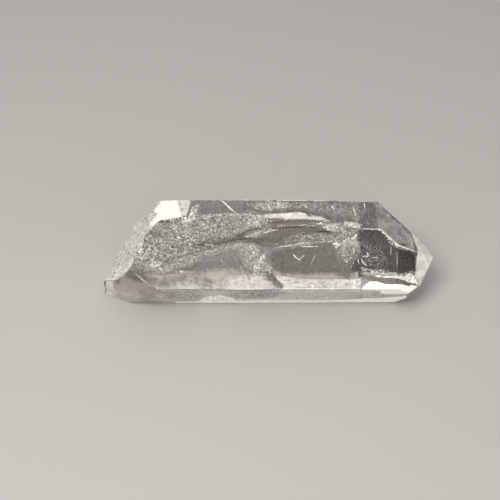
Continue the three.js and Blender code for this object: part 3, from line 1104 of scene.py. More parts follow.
@dataclass(frozen=True)
class Veil:
    """A thin healed crack: a curved closed sheet inside the crystal, seen as a cloudy film."""

    centre: Triple
    long_way: Triple
    short_way: Triple
    bow: float
    seed: int
    thick: float = 0.05
    rings: int = 16
    spokes: int = 48

    def mesh(self) -> tuple[Array, Array]:
        """The sheet's points and faces.

        Formula: a disc in polar steps, stretched along its two half axes and bowed by soft noise,
        with a front and a back that part by the thickness in the middle and meet at the rim.

        Returns:
            Points and triangles.
        """
        r = np.linspace(0.0, 1.0, self.rings + 1)[1:, None]
        angle = np.arange(self.spokes)[None, :] * 2.0 * np.pi / self.spokes
        seeds = np.stack([np.cos(angle), np.sin(angle), np.full_like(angle, self.seed)], axis=-1)
        ragged = r * (1.0 + 0.22 * soft_noise(seeds, 0.5, self.seed))
        u, v = (ragged * np.cos(angle)).reshape(-1), (ragged * np.sin(angle)).reshape(-1)
        centre, a, b = np.array(self.centre), np.array(self.long_way), np.array(self.short_way)
        up = unit(np.cross(a, b))
        flat = centre + u[:, None] * a + v[:, None] * b
        lift = self.bow * soft_noise(flat, 6.0, self.seed + 1)
        lift = lift + 0.12 * self.bow * soft_noise(flat, 1.4, self.seed + 2)
        gap = (0.5 * self.thick * (1.0 - np.repeat(r, self.spokes, axis=1) ** 2)).reshape(-1)
        high, half = lift[: self.spokes].mean(), 0.5 * self.thick
        points = np.vstack([flat + up * (lift + gap)[:, None], flat + up * (lift - gap)[:, None],
                            centre + up * (high + half), centre + up * (high - half)])
        count = self.rings * self.spokes
        c = np.arange(self.spokes)
        n = np.roll(c, -1)
        rim = count - self.spokes
        sheet = halves(ring_quads(self.rings, self.spokes))
        hub = np.stack([np.full(self.spokes, 2 * count), c, n], -1)
        under = np.stack([np.full(self.spokes, 2 * count + 1), n + count, c + count], -1)
        wall = np.stack([rim + c, rim + count + c, rim + count + n, rim + n], -1)
        return points, np.vstack([sheet, hub, sheet[:, ::-1] + count, under, halves(wall)])


@dataclass(frozen=True)
class Film:
    """A thin closed sheet that follows the skin at a depth, shown where its patches lie, for clouding, crumbs
    and painted light and shade.
    """

    patches: Patches
    depth: float
    pitch: float
    thick: float = 0.02
    # How far along the crystal it reaches, and how far inside the base it stays.
    ends: Pair = (-46.0, 43.8)
    margin: float = 0.02

    def mesh(self) -> tuple[Array, Array, Array]:
        """The sheet's points, faces and cover.

        Formula: a grid over the patches' box in x and girth is laid at the depth under the skin,
        once for its outer and once for its inner face, and the two are joined round the rim.
        Quads that no patch covers are left out with the same rim round them.

        Returns:
            Points, triangles, and the cover at each point.
        """
        (x0, g0), (x1, g1) = box_of(self.patches)
        across = max(4, int((g1 - g0) * GIRTH_MM / self.pitch))
        along = max(4, int((x1 - x0) / self.pitch))
        x, girth = np.meshgrid(np.linspace(x0, x1, along), np.linspace(g0, g1, across), indexing="ij")
        outer, inner = (FORM.place(np.clip(x, *self.ends), once_round(girth), np.full(x.shape, depth))
                        for depth in (self.depth, self.depth + self.thick))
        inside = FORM.within(outer, self.margin)
        cover = np.where(inside, cover_of(self.patches, x, girth), 0.0).reshape(-1)
        number = np.arange(x.size).reshape(x.shape)
        corners = [number[:-1, :-1], number[1:, :-1], number[1:, 1:], number[:-1, 1:]]
        quads = np.stack(corners, axis=-1).reshape(-1, 4)
        keep = (cover[quads].max(axis=1) > 0.0) & inside.reshape(-1)[quads].all(axis=1)
        return closed_sheet(outer.reshape(-1, 3), inner.reshape(-1, 3), quads[keep], cover)


def closed_sheet(outer: Array, inner: Array, quads: Array, cover: Array) -> tuple[Array, Array, Array]:
    """Closes two matching grids into one thin sheet.

    Formula: the outer quads, the inner quads turned round, and a wall on every edge that only
    one quad uses. Points that no quad uses are dropped.

    Args:
        outer: Points of the outer face.
        inner: Points of the inner face, in the same order.
        quads: Quads that both faces have.
        cover: The clouding at each point.

    Returns:
        Points, triangles, and the cover at each point.
    """
    count = len(outer)
    edges = np.stack([quads, np.roll(quads, -1, axis=1)], axis=-1).reshape(-1, 2)
    keys = np.sort(edges, axis=1)
    _, where, uses = np.unique(keys[:, 0] * count + keys[:, 1], return_inverse=True, return_counts=True)
    rim = edges[uses[where.reshape(-1)] == 1]
    walls = np.stack([rim[:, 1], rim[:, 0], rim[:, 0] + count, rim[:, 1] + count], axis=-1)
    triangles = halves(np.vstack([quads, quads[:, ::-1] + count, walls]))
    used, renumbered = np.unique(triangles, return_inverse=True)
    return np.vstack([outer, inner])[used], renumbered.reshape(-1, 3), np.concatenate([cover, cover])[used]


def joined(parts: list[tuple[Array, ...]]) -> list[Array]:
    """Joins several sets of points, triangles and covers into one."""
    offsets = np.cumsum([0] + [len(part[0]) for part in parts[:-1]])
    points = np.vstack([part[0] for part in parts])
    faces = np.vstack([part[1] + offset for part, offset in zip(parts, offsets)])
    return [points, faces] + [np.concatenate(cover) for cover in zip(*(part[2:] for part in parts))]


# ---- Finishes ----


@dataclass(frozen=True)
class Wiring:
    """Adds nodes to one node tree, sets their inputs and links them."""

    tree: bpy.types.NodeTree

    def give(self, socket: Socket, value: object) -> None:
        """Gives a socket its value, or links it where the value is a socket too."""
        if isinstance(value, Socket):
            self.tree.links.new(value, socket)
        else:
            socket.default_value = value

    def add(self, kind: str, inputs: dict[str, object] | None = None, **settings: object) -> Node:
        """Adds a node.

        Args:
            kind: The node's type name.
            inputs: Values or sockets for its inputs, by name.
            settings: Values for the node's own settings.

        Returns:
            The new node.
        """
        node = self.tree.nodes.new(kind)
        for key, value in settings.items():
            setattr(node, key, value)
        for key, value in (inputs or {}).items():
            self.give(node.inputs[key], value)
        return node

    def place(self) -> Socket:
        """The place on the piece, as Object coordinates."""
        return self.add("ShaderNodeTexCoord").outputs["Object"]

    def noise(self, place: Socket, scale: object, detail: float, **more: float) -> Socket:
        """Adds a noise texture and gives its value."""
        inputs = {"Vector": place, "Scale": scale, "Detail": detail, **more}
        return self.add("ShaderNodeTexNoise", inputs).outputs["Fac"]

    def maths(self, operation: str, a: object, b: object = 0.0, c: object = 0.0) -> Socket:
        """Adds a Math node on up to three values or sockets and gives its result."""
        node = self.add("ShaderNodeMath", operation=operation)
        for socket, value in zip(node.inputs, (a, b, c)):
            self.give(socket, value)
        return node.outputs[0]

    def spread(self, value: Socket, low: float, high: float, to_low: float, to_high: float) -> Socket:
        """Carries a value from one range to another, smoothly and within its ends."""
        ends = {"From Min": low, "From Max": high, "To Min": to_low, "To Max": to_high}
        node = self.add("ShaderNodeMapRange", {"Value": value, **ends}, interpolation_type="SMOOTHSTEP")
        return node.outputs["Result"]

    def blend(self, mask: Socket, dark: Triple, light: Triple) -> Socket:
        """Mixes two colours by a mask."""
        node = self.add("ShaderNodeMix", data_type="RGBA")
        for number, value in ((0, mask), (6, (*dark, 1.0)), (7, (*light, 1.0))):
            self.give(node.inputs[number], value)
        return node.outputs[2]


class Effect(Enum):
    """The surface effects that several finishes share, each a node group built once."""

    GROWTH = "growth marks"
    GRAIN = "grain"
    CLOUDING = "clouding"

    def group(self) -> bpy.types.NodeTree:
        """The effect's node group, built on first use."""
        builders = {Effect.GROWTH: growth_group, Effect.GRAIN: grain_group, Effect.CLOUDING: clouding_group}
        return bpy.data.node_groups.get(self.value) or builders[self](self.value)

    def put(self, wiring: Wiring, **inputs: float) -> Node:
        """Places the effect in a material with its own values."""
        values = {key.replace("_", " "): value for key, value in inputs.items()}
        return wiring.add("ShaderNodeGroup", values, node_tree=self.group())


def new_group(name: str, inputs: dict[str, float], outputs: list[str]) -> tuple[Wiring, Node, Node]:
    """Starts a node group.

    Args:
        name: Its name.
        inputs: Its number inputs and their usual values.
        outputs: Its number outputs.

    Returns:
        The group's wiring, its input node and its output node.
    """
    tree = bpy.data.node_groups.new(name, "ShaderNodeTree")
    for key, value in inputs.items():
        tree.interface.new_socket(key, in_out="INPUT", socket_type="NodeSocketFloat").default_value = value
    for key in outputs:
        tree.interface.new_socket(key, in_out="OUTPUT", socket_type="NodeSocketFloat")
    wiring = Wiring(tree)
    return wiring, wiring.add("NodeGroupInput"), wiring.add("NodeGroupOutput")


def growth_group(name: str) -> bpy.types.NodeTree:
    """Growth marks of a prism face: fine lines across the crystal, and slow smudges.

    Args:
        name: The group's name.

    Returns:
        The node group. Height rises over the lines, and Smudge is 0 to 1.
    """
    w, given, out = new_group(name, {"Lines": 900.0, "Smudge Size": 220.0}, ["Height", "Smudge"])
    place = w.place()
    lines = w.add("ShaderNodeTexWave", {"Vector": place, "Scale": given.outputs["Lines"], "Distortion": 5.0,
                                        "Detail": 3.0, "Detail Scale": 0.6, "Detail Roughness": 0.6},
                  wave_type="BANDS", bands_direction="X").outputs["Fac"]
    smudge = w.noise(place, given.outputs["Smudge Size"], 5.0, Roughness=0.62, Distortion=0.6)
    slow = w.noise(place, 95.0, 2.0)
    fading = w.maths("MULTIPLY", lines, w.spread(slow, 0.42, 0.66, 0.1, 1.0))
    w.give(out.inputs["Height"], w.maths("MULTIPLY_ADD", slow, 3.0, fading))
    w.give(out.inputs["Smudge"], w.spread(smudge, 0.45, 0.75, 0.0, 1.0))
    return w.tree


def grain_group(name: str) -> bpy.types.NodeTree:
    """Grains of a granular break: each has its own lightness, and the surface is pitted between.

    Args:
        name: The group's name.

    Returns:
        The node group. Speckle is 0 to 1 and Height is over the grains.
    """
    w, given, out = new_group(name, {"Grains": 1900.0, "Light Share": 0.5}, ["Speckle", "Height"])
    place = w.place()
    cells = w.add("ShaderNodeTexVoronoi",
                  {"Vector": place, "Scale": given.outputs["Grains"], "Randomness": 1.0})
    tone = w.add("ShaderNodeSeparateColor", {"Color": cells.outputs["Color"]}).outputs["Red"]
    fine = w.noise(place, 3100.0, 2.0)
    mixed = w.maths("ADD", w.maths("MULTIPLY", tone, 0.7), w.maths("MULTIPLY", fine, 0.6))
    edge = w.maths("SUBTRACT", 1.15, given.outputs["Light Share"])
    speckle = w.maths("SUBTRACT", mixed, w.maths("SUBTRACT", edge, 0.25))
    w.give(out.inputs["Speckle"], w.maths("MULTIPLY", speckle, 2.2))
    w.give(out.inputs["Height"], w.maths("MULTIPLY_ADD", cells.outputs["Distance"], -1.2, fine))
    return w.tree


def clouding_group(name: str) -> bpy.types.NodeTree:
    """Clouding in a healed crack: wisps with clear gaps between them.

    Args:
        name: The group's name.

    Returns:
        The node group. Mask is 0 where it is clear and 1 in the thick of a wisp.
    """
    w, given, out = new_group(name, {"Wisps": 420.0, "Gaps": 0.5}, ["Mask"])
    noise = w.noise(w.place(), given.outputs["Wisps"], 7.0, Roughness=0.68, Distortion=1.4)
    over = w.maths("SUBTRACT", noise, given.outputs["Gaps"])
    w.give(out.inputs["Mask"], w.spread(over, -0.02, 0.22, 0.0, 1.0))
    return w.tree


@dataclass(frozen=True)
class Finish:
    """What every finish has: a name, and a material with its Principled shader."""

    name: str

    def start(self, **values: object) -> tuple[bpy.types.Material, Wiring, Node]:
        """Makes the material, sets the shader's own sockets, and gives its wiring and shader."""
        material = bpy.data.materials.new(self.name)
        material.use_nodes = True
        shader = material.node_tree.nodes["Principled BSDF"]
        for key, value in values.items():
            shader.inputs[key.replace("_", " ")].default_value = value
        return material, Wiring(material.node_tree), shader


def speckle(w: Wiring, shader: Node, dark: Triple, light: Triple, grains: float, light_share: float) -> Node:
    """Colours the shader by grains that are dark or light, and gives the grains' node."""
    grain = Effect.GRAIN.put(w, Grains=grains, Light_Share=light_share)
    w.give(shader.inputs["Base Color"], w.blend(grain.outputs["Speckle"], dark, light))
    return grain


def fill_body(w: Wiring) -> None:
    """Lets the clear body take a little of the light's blue as it passes."""
    body = w.add("ShaderNodeVolumeAbsorption", {"Color": BODY_TINT, "Density": BODY_DENSITY})
    w.give(w.tree.nodes["Material Output"].inputs["Volume"], body.outputs["Volume"])


@dataclass(frozen=True)
class ClearQuartz(Finish):
    """Polished, see-through quartz with faint growth marks and smudges."""

    lines: float = 260.0
    relief: float = 0.15
    dull: float = 0.10

    def material(self) -> bpy.types.Material:
        """Builds the material.

        Returns:
            The new material.
        """
        white = (1.0, 1.0, 1.0, 1.0)
        material, w, shader = self.start(Transmission_Weight=1.0, IOR=QUARTZ_IOR, Base_Color=white)
        growth = Effect.GROWTH.put(w, Lines=self.lines)
        w.give(shader.inputs["Roughness"], w.spread(growth.outputs["Smudge"], 0.0, 1.0, 0.0, self.dull))
        bump = w.add("ShaderNodeBump", {"Height": growth.outputs["Height"], "Strength": self.relief,
                                        "Distance": 0.00012})
        w.give(shader.inputs["Normal"], bump.outputs["Normal"])
        fill_body(w)
        return material


@dataclass(frozen=True)
class FrostedQuartz(Finish):
    """Broken quartz whose grains scatter the light: part frosted white, part see-through."""

    clearness: float
    dark: Triple
    light_share: float
    grains: float = 1900.0
    relief: float = 0.6
    roughness: tuple[float, float] = (0.15, 0.45)
    light: Triple = (1.0, 0.985, 0.95)

    def material(self) -> bpy.types.Material:
        """Builds the material.

        Returns:
            The new material.
        """
        material, w, shader = self.start(Transmission_Weight=self.clearness, IOR=QUARTZ_IOR)
        grain = speckle(w, shader, self.dark, self.light, self.grains, self.light_share)
        w.give(shader.inputs["Roughness"], w.spread(grain.outputs["Speckle"], 0.0, 1.0, *self.roughness))
        bump = w.add("ShaderNodeBump", {"Height": grain.outputs["Height"], "Strength": self.relief,
                                        "Distance": 0.0002})
        w.give(shader.inputs["Normal"], bump.outputs["Normal"])
        fill_body(w)
        return material


@dataclass(frozen=True)
class Splinter(Finish):
    """The face of a tiny crack or splinter, light or dark, with its own speckle; the light one also draws
    painted highlights.
    """

    light: Triple = (1.0, 0.99, 0.96)
    dark: Triple = (0.62, 0.60, 0.57)
    roughness: float = 0.3

    def material(self) -> bpy.types.Material:
        """Builds the material.

        Returns:
            The new material.
        """
        material, w, shader = self.start(Roughness=self.roughness, IOR=QUARTZ_IOR)
        speckle(w, shader, self.dark, self.light, 2600.0, 0.7)
        return material


@dataclass(frozen=True)
class SpeckledFilm(Finish):
    """A speckled film on or under the skin, as thick as the piece's own cover says: crumbs, and in some kinds
    painted light and painted shade.
    """

    light: Triple = (1.0, 0.985, 0.95)
    dark: Triple = (0.80, 0.78, 0.74)
    size: float = 1300.0
    stretch: Triple = (1.0, 1.0, 1.0)
    shift: float = 0.0
    crisp: float = 3.0
    fewest: float = 0.30
    most: float = 1.0
    curl: float = 0.0

    def material(self) -> bpy.types.Material:
        """Builds the material.

        Formula: alpha is the noise less its own threshold, times the crispness. The threshold
        falls evenly as the cover rises. With a curl, the noise is first turned into lines: 1 less
        its distance from a half times the curl.

        Returns:
            The new material.
        """
        material, w, shader = self.start(Roughness=0.25, IOR=QUARTZ_IOR)
        moved = w.add("ShaderNodeMapping",
                      {"Vector": w.place(), "Location": (self.shift,) * 3, "Scale": self.stretch})
        noise = w.noise(moved.outputs["Vector"], self.size, 3.0, Roughness=0.6, Distortion=0.8)
        bare = 0.78
        if self.curl > 0.0:
            bare = 1.0
            away = w.maths("ABSOLUTE", w.maths("SUBTRACT", noise, 0.5))
            noise = w.maths("MULTIPLY_ADD", away, -self.curl, 1.0)
        cover = w.add("ShaderNodeAttribute", attribute_name="cover").outputs["Fac"]
        edge = w.maths("MULTIPLY_ADD", cover, self.fewest - bare, bare)
        over = w.maths("MULTIPLY", w.maths("SUBTRACT", noise, edge), self.crisp)
        alpha = w.add("ShaderNodeClamp", {"Value": over, "Max": self.most}).outputs["Result"]
        speckle(w, shader, self.dark, self.light, 2600.0, 0.6)
        w.give(shader.inputs["Alpha"], alpha)
        return material


@dataclass(frozen=True)
class CloudyFilm(Finish):
    """The cloudy film of a healed crack, patchy and half see-through."""

    light: Triple = (0.95, 0.93, 0.90)
    dark: Triple = (0.60, 0.57, 0.54)
    most: float = 0.4

    def material(self) -> bpy.types.Material:
        """Builds the material.

        Returns:
            The new material.
        """
        material, w, shader = self.start(Roughness=0.6, IOR=QUARTZ_IOR)
        cloud = Effect.CLOUDING.put(w)
        speckle(w, shader, self.dark, self.light, 2200.0, 0.55)
        w.give(shader.inputs["Alpha"], w.spread(cloud.outputs["Mask"], 0.0, 1.0, 0.0, self.most))
        return material


# ---- What lies on and in the crystal, and the painted light and shade ----


@dataclass(frozen=True)
class Kind:
    """One kind of fine matter, painted light or painted shade: its name, its finish and its members."""

    name: str
    finish: Splinter | CloudyFilm | SpeckledFilm
    members: tuple[Cloud | Streak | Veil | Film, ...]

    def build(self) -> bpy.types.Object:
        """Joins the members into one piece with its finish."""
        piece = mesh_object(self.name, *joined([member.mesh() for member in self.members]))
        piece.data.materials.append(self.finish.material())
        return piece


@dataclass(frozen=True)
class Inclusions:
    """The splinters, scratches, cracks, crumbs and films on and in the crystal, with the painted highlights,
    painted light and painted shade among them.
    """

    kinds: tuple[Kind, ...] = (
        Kind("white_splinters", Splinter("white splinters"), (
            # Coarse splinters at the broad end of the break.
            Cloud((Patch(-29.5, 0.72, 8.5, 0.46), Patch(-33, 0.72, 2.4, 0.2), Patch(-29.6, 1, 2.4, 0.2)),
                420, (0.18, 0.55), seed=3),
            Cloud((Patch(-29.7, 1, 1.9, 0.14), Patch(-33.3, 0.72, 1.5, 0.14),
                Patch(-22.3, 0.5, 1.4, 0.1, 0.6)), 90, (0.4, 0.95), seed=4),
            # Fine grain in the middle of the break, thickest by the end of the scratch.
            Cloud((Patch(-12, 0.3, 12.5, 0.55, 0.75), Patch(-8.5, 0.5, 5, 0.35)), 700, (0.12, 0.32),
                seed=5),
            Cloud((Patch(-4.2, 0.06, 3.2, 0.45), Patch(-7.2, 0.42, 2.6, 0.3, 0.7)), 420, (0.15, 0.45),
                seed=6),
            # The strip above the lower rim, and the chips at the break's end.
            Cloud((Patch(12, 0.84, 8.5, 0.2, 0.8),), 420, (0.12, 0.36), seed=7),
            Cloud((Patch(18, 0.28, 2.6, 0.22), Patch(21.8, -0.06, 2.8, 0.13), Patch(21.5, 0.9, 3, 0.2, 0.6),
                Patch(17.5, 1.03, 1.5, 0.09), Patch(20.8, 1.2, 3, 0.4, 0.25)), 520, (0.15, 0.6), seed=8),
            # Under the upper front, round the bright arcs.
            Cloud((Patch(-4.6, 1.22, 3.2, 0.42, 0.8),), 620, (0.12, 0.38), (0.05, 0.9), seed=9),
            # In the window behind the point.
            Cloud((Patch(27, 1.35, 7.5, 0.36, 0.7),), 180, (0.12, 0.42), (0.3, 4), 1.6, seed=10),
            # Curls under the top, and short upright marks nearer the point.
            Cloud((Patch(0.5, -0.55, 7.5, 0.5),), 260, (0.2, 0.7), (0.1, 1.2), 2.4, seed=12),
            Cloud((Patch(20.5, -0.65, 6.5, 0.42, 0.6),), 40, (0.3, 0.8), (0.1, 1), 3, seed=13),
            # Low on the lower front, left of the middle.
            Cloud((Patch(-23, 2.45, 8, 0.42), Patch(0, 2.5, 12, 0.4, 0.3)), 420, (0.12, 0.4), (0.02, 0.7),
                seed=14),
            # Thinly through the whole body.
            Cloud((Patch(-8, -0.5, 40, 4.5, 0.5),), 900, (0.1, 0.35), (2, 9.5), 1.5, seed=15),
        )),
        Kind("dark_splinters", Splinter("dark splinters", (0.20, 0.185, 0.17), (0.05, 0.045, 0.04), 0.2), (
            Cloud((Patch(-28.5, 0.66, 9, 0.5), Patch(-12, 0.3, 12.5, 0.5, 0.8)), 700, (0.12, 0.36),
                seed=21),
            Cloud((Patch(-0.6, 1.62, 2.6, 0.26), Patch(-3.4, 1.3, 2.2, 0.2, 0.4)), 260, (0.15, 0.45),
                (0.1, 0.8), seed=22),
            Cloud((Patch(-22.5, 2.42, 6.5, 0.34),), 260, (0.12, 0.4), (0.02, 0.6), seed=23),
            Cloud((Patch(12, 0.84, 8.5, 0.2, 0.8),), 260, (0.12, 0.34), seed=24),
        )),
        Kind("bright_cracks_and_highlights", Splinter("bright cracks and highlights"), (
            # The long scratch on the top.
            Streak(((-12.7, -0.99), (-11.5, -0.71), (-9.9, -0.29), (-8.6, 0), (-7.5, 0.1)), 0.5, -0.04,
                0.08, 0.04),
            # A painted highlight along the edge of the heel's slanting face.
            Streak(((-36.2, 1), (-34.3, 1.4), (-32.5, 1.72), (-31, 1.97)), 0.13, -0.04, 0.05, 0.2),
            # The V and the tick on the upper front.
            Streak(((6.3, 1.2), (6.8, 1.26), (7.2, 1.3)), 0.26, -0.04, 0.06, 0.15),
            Streak(((7, 1.28), (7.8, 1.335), (8.4, 1.35)), 0.16, -0.04, 0.06, 0.15),
            Streak(((9.3, 1.24), (8.6, 1.29), (7.8, 1.33)), 0.13, -0.04, 0.06, 0.15),
            Streak(((12, 1.25), (11.5, 1.36), (10.9, 1.45)), 0.09, -0.04, 0.05, 0.2),
            # Short marks and curls on the top.
            Streak(((22.3, -0.75), (22.85, -0.45)), 0.26, -0.04, 0.05, 0.1),
            Streak(((25.36, -0.95), (25.44, -0.7)), 0.26, -0.04, 0.05, 0.1),
            Streak(((16.5, -0.76), (17.45, -0.54)), 0.3, -0.04, 0.05, 0.1),
            Streak(((9.64, -0.69), (10.1, -0.4)), 0.22, -0.04, 0.05, 0.1),
            Streak(((-0.14, -0.78), (0.1, -0.5), (0.87, -0.22)), 0.26, -0.04, 0.05, 0.1),
            Streak(((2.25, -0.85), (2.8, -0.62), (3.8, -0.55)), 0.3, -0.04, 0.05, 0.1),
            # Light lines along the sharp edge past the break and along the edge of the point's front face.
            Streak(((22.5, 0.4), (24.5, 0.49), (26.5, 0.5), (28.3, 0.5)), 0.2, 0, 0.14, 0.3),
            Streak(((28.2, 0.5), (31, 0.5), (34, 0.5), (37, 0.5), (41.5, 0.5)), 0.14, 0, 0.22, 0.5),
            # Marks in the window.
            Streak(((33.2, 1), (33.3, 1.2), (33.3, 1.4)), 0.08, -0.06, 0.05, 0.2),
            Streak(((31.6, 0.9), (31.65, 1.18)), 0.1, -0.06, 0.05, 0.2),
            Streak(((23.1, 1.455), (23.2, 1.51), (23.5, 1.57)), 0.16, -0.06, 0.05, 0.2),
            Streak(((24.1, 1.48), (24.6, 1.54), (25.5, 1.565)), 0.2, -0.06, 0.05, 0.2),
            Streak(((24.2, 1.44), (25, 1.4), (26, 1.39)), 0.2, -0.06, 0.05, 0.2),
            Streak(((26.5, 1.38), (27.5, 1.37), (28.6, 1.38)), 0.1, -0.06, 0.05, 0.2),
            Streak(((25.2, 1.33), (25.8, 1.35), (25.3, 1.43)), 0.18, -0.06, 0.05, 0.2),
            # A light line along the top's back edge.
            Streak(((-18.5, -0.99), (-5, -0.99), (10, -0.99), (27.5, -0.99)), 0.22, 0, 0.12, 0.2),
            # Painted highlights along the ledge lines at the break's lower rim.
            Streak(((1.5, 1.03), (3.1, 0.975), (6, 0.985), (8.1, 0.972), (10.1, 0.955), (13.2, 0.962),
                (15.8, 0.955), (18.4, 0.97)), 0.34, 0, 0.12, 0.25),
            Streak(((8.1, 1.055), (10.1, 1.06), (13.2, 1.064)), 0.22, 0, 0.08, 0.25),
        )),
        Kind("dark_cracks", Splinter("dark cracks", (0.13, 0.12, 0.11), (0.04, 0.036, 0.033)), (
            # The fan of fine lines left of the arcs.
            Streak(((-10.6, 1.16), (-9, 1.4), (-7.5, 1.63), (-5.9, 1.86)), 0.34, -0.03, 0.05, 0.1),
            Streak(((-9.6, 1.13), (-7.5, 1.38), (-5.9, 1.62), (-4.9, 1.81)), 0.3, -0.03, 0.05, 0.1),
            Streak(((-8.5, 1.11), (-6.7, 1.29), (-5.2, 1.53)), 0.24, -0.03, 0.05, 0.1),
            Streak(((-12.2, 1.36), (-10.1, 1.61), (-8, 1.88)), 0.16, -0.03, 0.05, 0.1),
            # Two marks beside the window.
            Streak(((18.5, 1.47), (19.5, 1.64), (21.1, 1.83)), 0.3, -0.03, 0.06, 0.08),
            Streak(((22, 1.9), (23.5, 1.965), (25.3, 1.84), (24.6, 1.905), (23.8, 1.974)), 0.2, -0.04, 0.05,
                0.1),
            # The line where the two front faces meet, and the one above it.
            Streak(((-30, 2.04), (-20, 2.03), (-8, 2.04), (2, 2.03), (12, 2.035), (24, 2.03)), 0.5, -0.02,
                0.05, 0.15),
            Streak(((3.5, 1.8), (8, 1.765), (13, 1.77), (19.8, 1.775), (23.7, 1.812)), 0.16, -0.02, 0.05,
                0.15),
        )),
        Kind("cloudy_films", CloudyFilm("cloudy film"), (
            Veil((-14, 4, 12), (13, 0, 1), (0, -3.5, 6), 1.6, seed=41),
            Veil((-26, 6, 10), (7, 1, 0.5), (1.5, -3.5, 5.5), 1.2, seed=42),
            Veil((2, 6.5, 13), (9, 1.5, -1), (-1, -3, 6), 1.2, seed=43),
            Veil((-4.5, 1.5, 15.5), (2.2, -0.6, -1.6), (-1.4, -2.2, 3.2), 0.9, seed=44),
            Veil((17.5, 5.5, 13.5), (3.5, 1, 1.5), (1, -3.2, 6.5), 0.8, seed=45),
        )),
        Kind("white_crumbs_and_glints", SpeckledFilm("white crumbs and glints", size=1600.0, fewest=0.68, crisp=12.0, curl=8.0), (
            # The granular break, thickest beside the end of the scratch.
            Film((Patch(-27.5, 0.66, 13, 0.62, 0.62), Patch(-37, 0.55, 8, 0.8, 0.5),
                Patch(-29.5, 0.98, 4, 0.2, 0.7), Patch(-12, 0.28, 14.5, 0.64, 0.6),
                Patch(-4.4, 0.12, 4.2, 0.44, 0.85), Patch(-28, 0.22, 6.5, 0.2, -0.5),
                Patch(-20.5, -0.1, 2.4, 0.4, 0.9), Patch(-8, 0.9, 14, 0.2, -0.4)), -0.09, 0.27),
            # The break's lower lip and the chips at its end.
            Film((Patch(12.5, 0.8, 9.5, 0.26, 0.6), Patch(19, 0.35, 4, 0.5, 0.6),
                Patch(21.5, -0.05, 3, 0.16, 0.8), Patch(20.5, 1.15, 4, 0.4, 0.3),
                Area(((16.6, 1.04), (17.4, 0.99), (18.1, 1.04), (18.3, 1.11), (17.4, 1.14)))), -0.09, 0.18),
            # Sparkles on the top: painted glints.
            Film((Patch(1, -0.62, 8, 0.42, 0.6), Patch(12, -0.6, 12, 0.5, 0.35),
                Patch(22, -0.6, 6, 0.5, 0.3),
                Area(((-19.7, -0.59), (-18.9, -0.71), (-18.1, -0.56), (-18.8, -0.44)), 0.9)), -0.03, 0.3),
            # Beside the bright arcs, and low on the lower front.
            Film((Patch(-5, 1.2, 3.2, 0.4, 0.72), Patch(-1.5, 1.5, 3.2, 0.32, 0.55),
                Patch(-23, 2.45, 8, 0.55, 0.7), Patch(-25, 1.08, 10, 0.34, 0.6),
                Patch(-14, 1, 12, 0.2, 0.5), Patch(-4, 2.5, 8, 0.4, 0.6)), -0.02, 0.3),
            # Over the window, thickest low in its middle.
            Film((Patch(26.5, 1.36, 6.5, 0.36, 0.2), Patch(30, 1.2, 9, 0.6, 0.08),
                Area(((28.3, 0.5), (30, 0.52), (34, 0.5), (38.2, 0.5), (38.2, 0.66), (34, 0.72),
                (32.4, 0.8), (31, 0.84), (29.6, 0.7), (28.4, 0.6)), 0.4, 0.6),
                Area(((28.4, 0.42), (38.2, 0.4), (38.2, 0.58), (28.4, 0.58)), 1, 0.4),
                Area(((24, 1.62), (30, 1.6), (34, 1.55), (37.6, 1.4), (38.2, 1.5), (35, 1.66), (30, 1.72),
                (24, 1.74)), 0.6, 0.8)), -0.05, 0.3),
        )),
        Kind("dark_crumbs", SpeckledFilm("dark crumbs", (0.24, 0.225, 0.205), (0.07, 0.064, 0.058), size=1500.0,
                                   shift=0.05, fewest=0.44, crisp=9.0, curl=8.0), (
            Film((Patch(-27.5, 0.6, 14, 0.66, 1), Patch(-37, 0.55, 8, 0.8, 0.85),
                Patch(-12, 0.34, 15, 0.62, 1), Patch(-4.4, 0.45, 4.6, 0.4, 0.95)), -0.11, 0.27),
            Film((Patch(12.5, 0.78, 9.5, 0.26, 0.95), Patch(19, 0.4, 4, 0.5, 0.85)), -0.11, 0.18),
            Film((Area(((-3, 1.5), (-1.4, 1.52), (-0.2, 1.6), (0.8, 1.64), (2.1, 1.77), (4, 1.92),
                (3.2, 1.985), (1.9, 1.89), (0.3, 1.8), (-1.6, 1.64)), 1, 0.9),), -0.05, 0.25),
            Film((Patch(-0.3, 1.55, 3, 0.28, 0.8), Patch(-5.2, 1.2, 3.2, 0.4, 0.8),
                Patch(-22.5, 2.42, 7.5, 0.5, 0.8), Patch(-4, 2.4, 9, 0.4, 0.7),
                Patch(-24, 1.12, 10, 0.36, 0.75), Patch(-14, 1, 12, 0.2, 0.6), Patch(-37, 1.6, 5, 0.6, 0.4),
                Patch(-42, 2.1, 2, 0.5, 0.4)), -0.025, 0.3),
        )),
        Kind("bright_flakes_and_highlights", SpeckledFilm("bright flakes and highlights", dark=(0.88, 0.86, 0.83), crisp=4.0, fewest=0.15), (
            # The bright break at the front corner below the point, and the sparkling one above it.
            Film((Area(((23.8, 2.02), (24.8, 1.94), (25.6, 1.885), (26.4, 1.85), (27.9, 1.836),
                (29.5, 1.871), (30.5, 1.884), (32.6, 1.87), (34.9, 1.816), (37.8, 1.825), (39.6, 1.994),
                (38.6, 2.184), (37.1, 2.1), (35.8, 2.21), (34.2, 2.326), (32.6, 2.349), (31, 2.349),
                (29.1, 2.275), (29.4, 2.13), (27, 2.056)), 1, 0.25),), -0.03, 0.25),
            Film((Area(((26.6, 1.712), (28.2, 1.718), (30, 1.708), (33.1, 1.645), (35.4, 1.568),
                (36.8, 1.464), (38, 1.5), (38.9, 1.71), (39.9, 1.98), (38.4, 1.84), (36, 1.7), (33.7, 1.71),
                (32.1, 1.72), (30.2, 1.765), (28.2, 1.775)), 0.8, 0.4),), -0.03, 0.25),
            # The bright lower rim: a painted highlight.
            Film((Area(((16.6, 2.82), (20.5, 2.76), (23.5, 2.72), (26.1, 2.65), (28.8, 2.68), (31.3, 2.61),
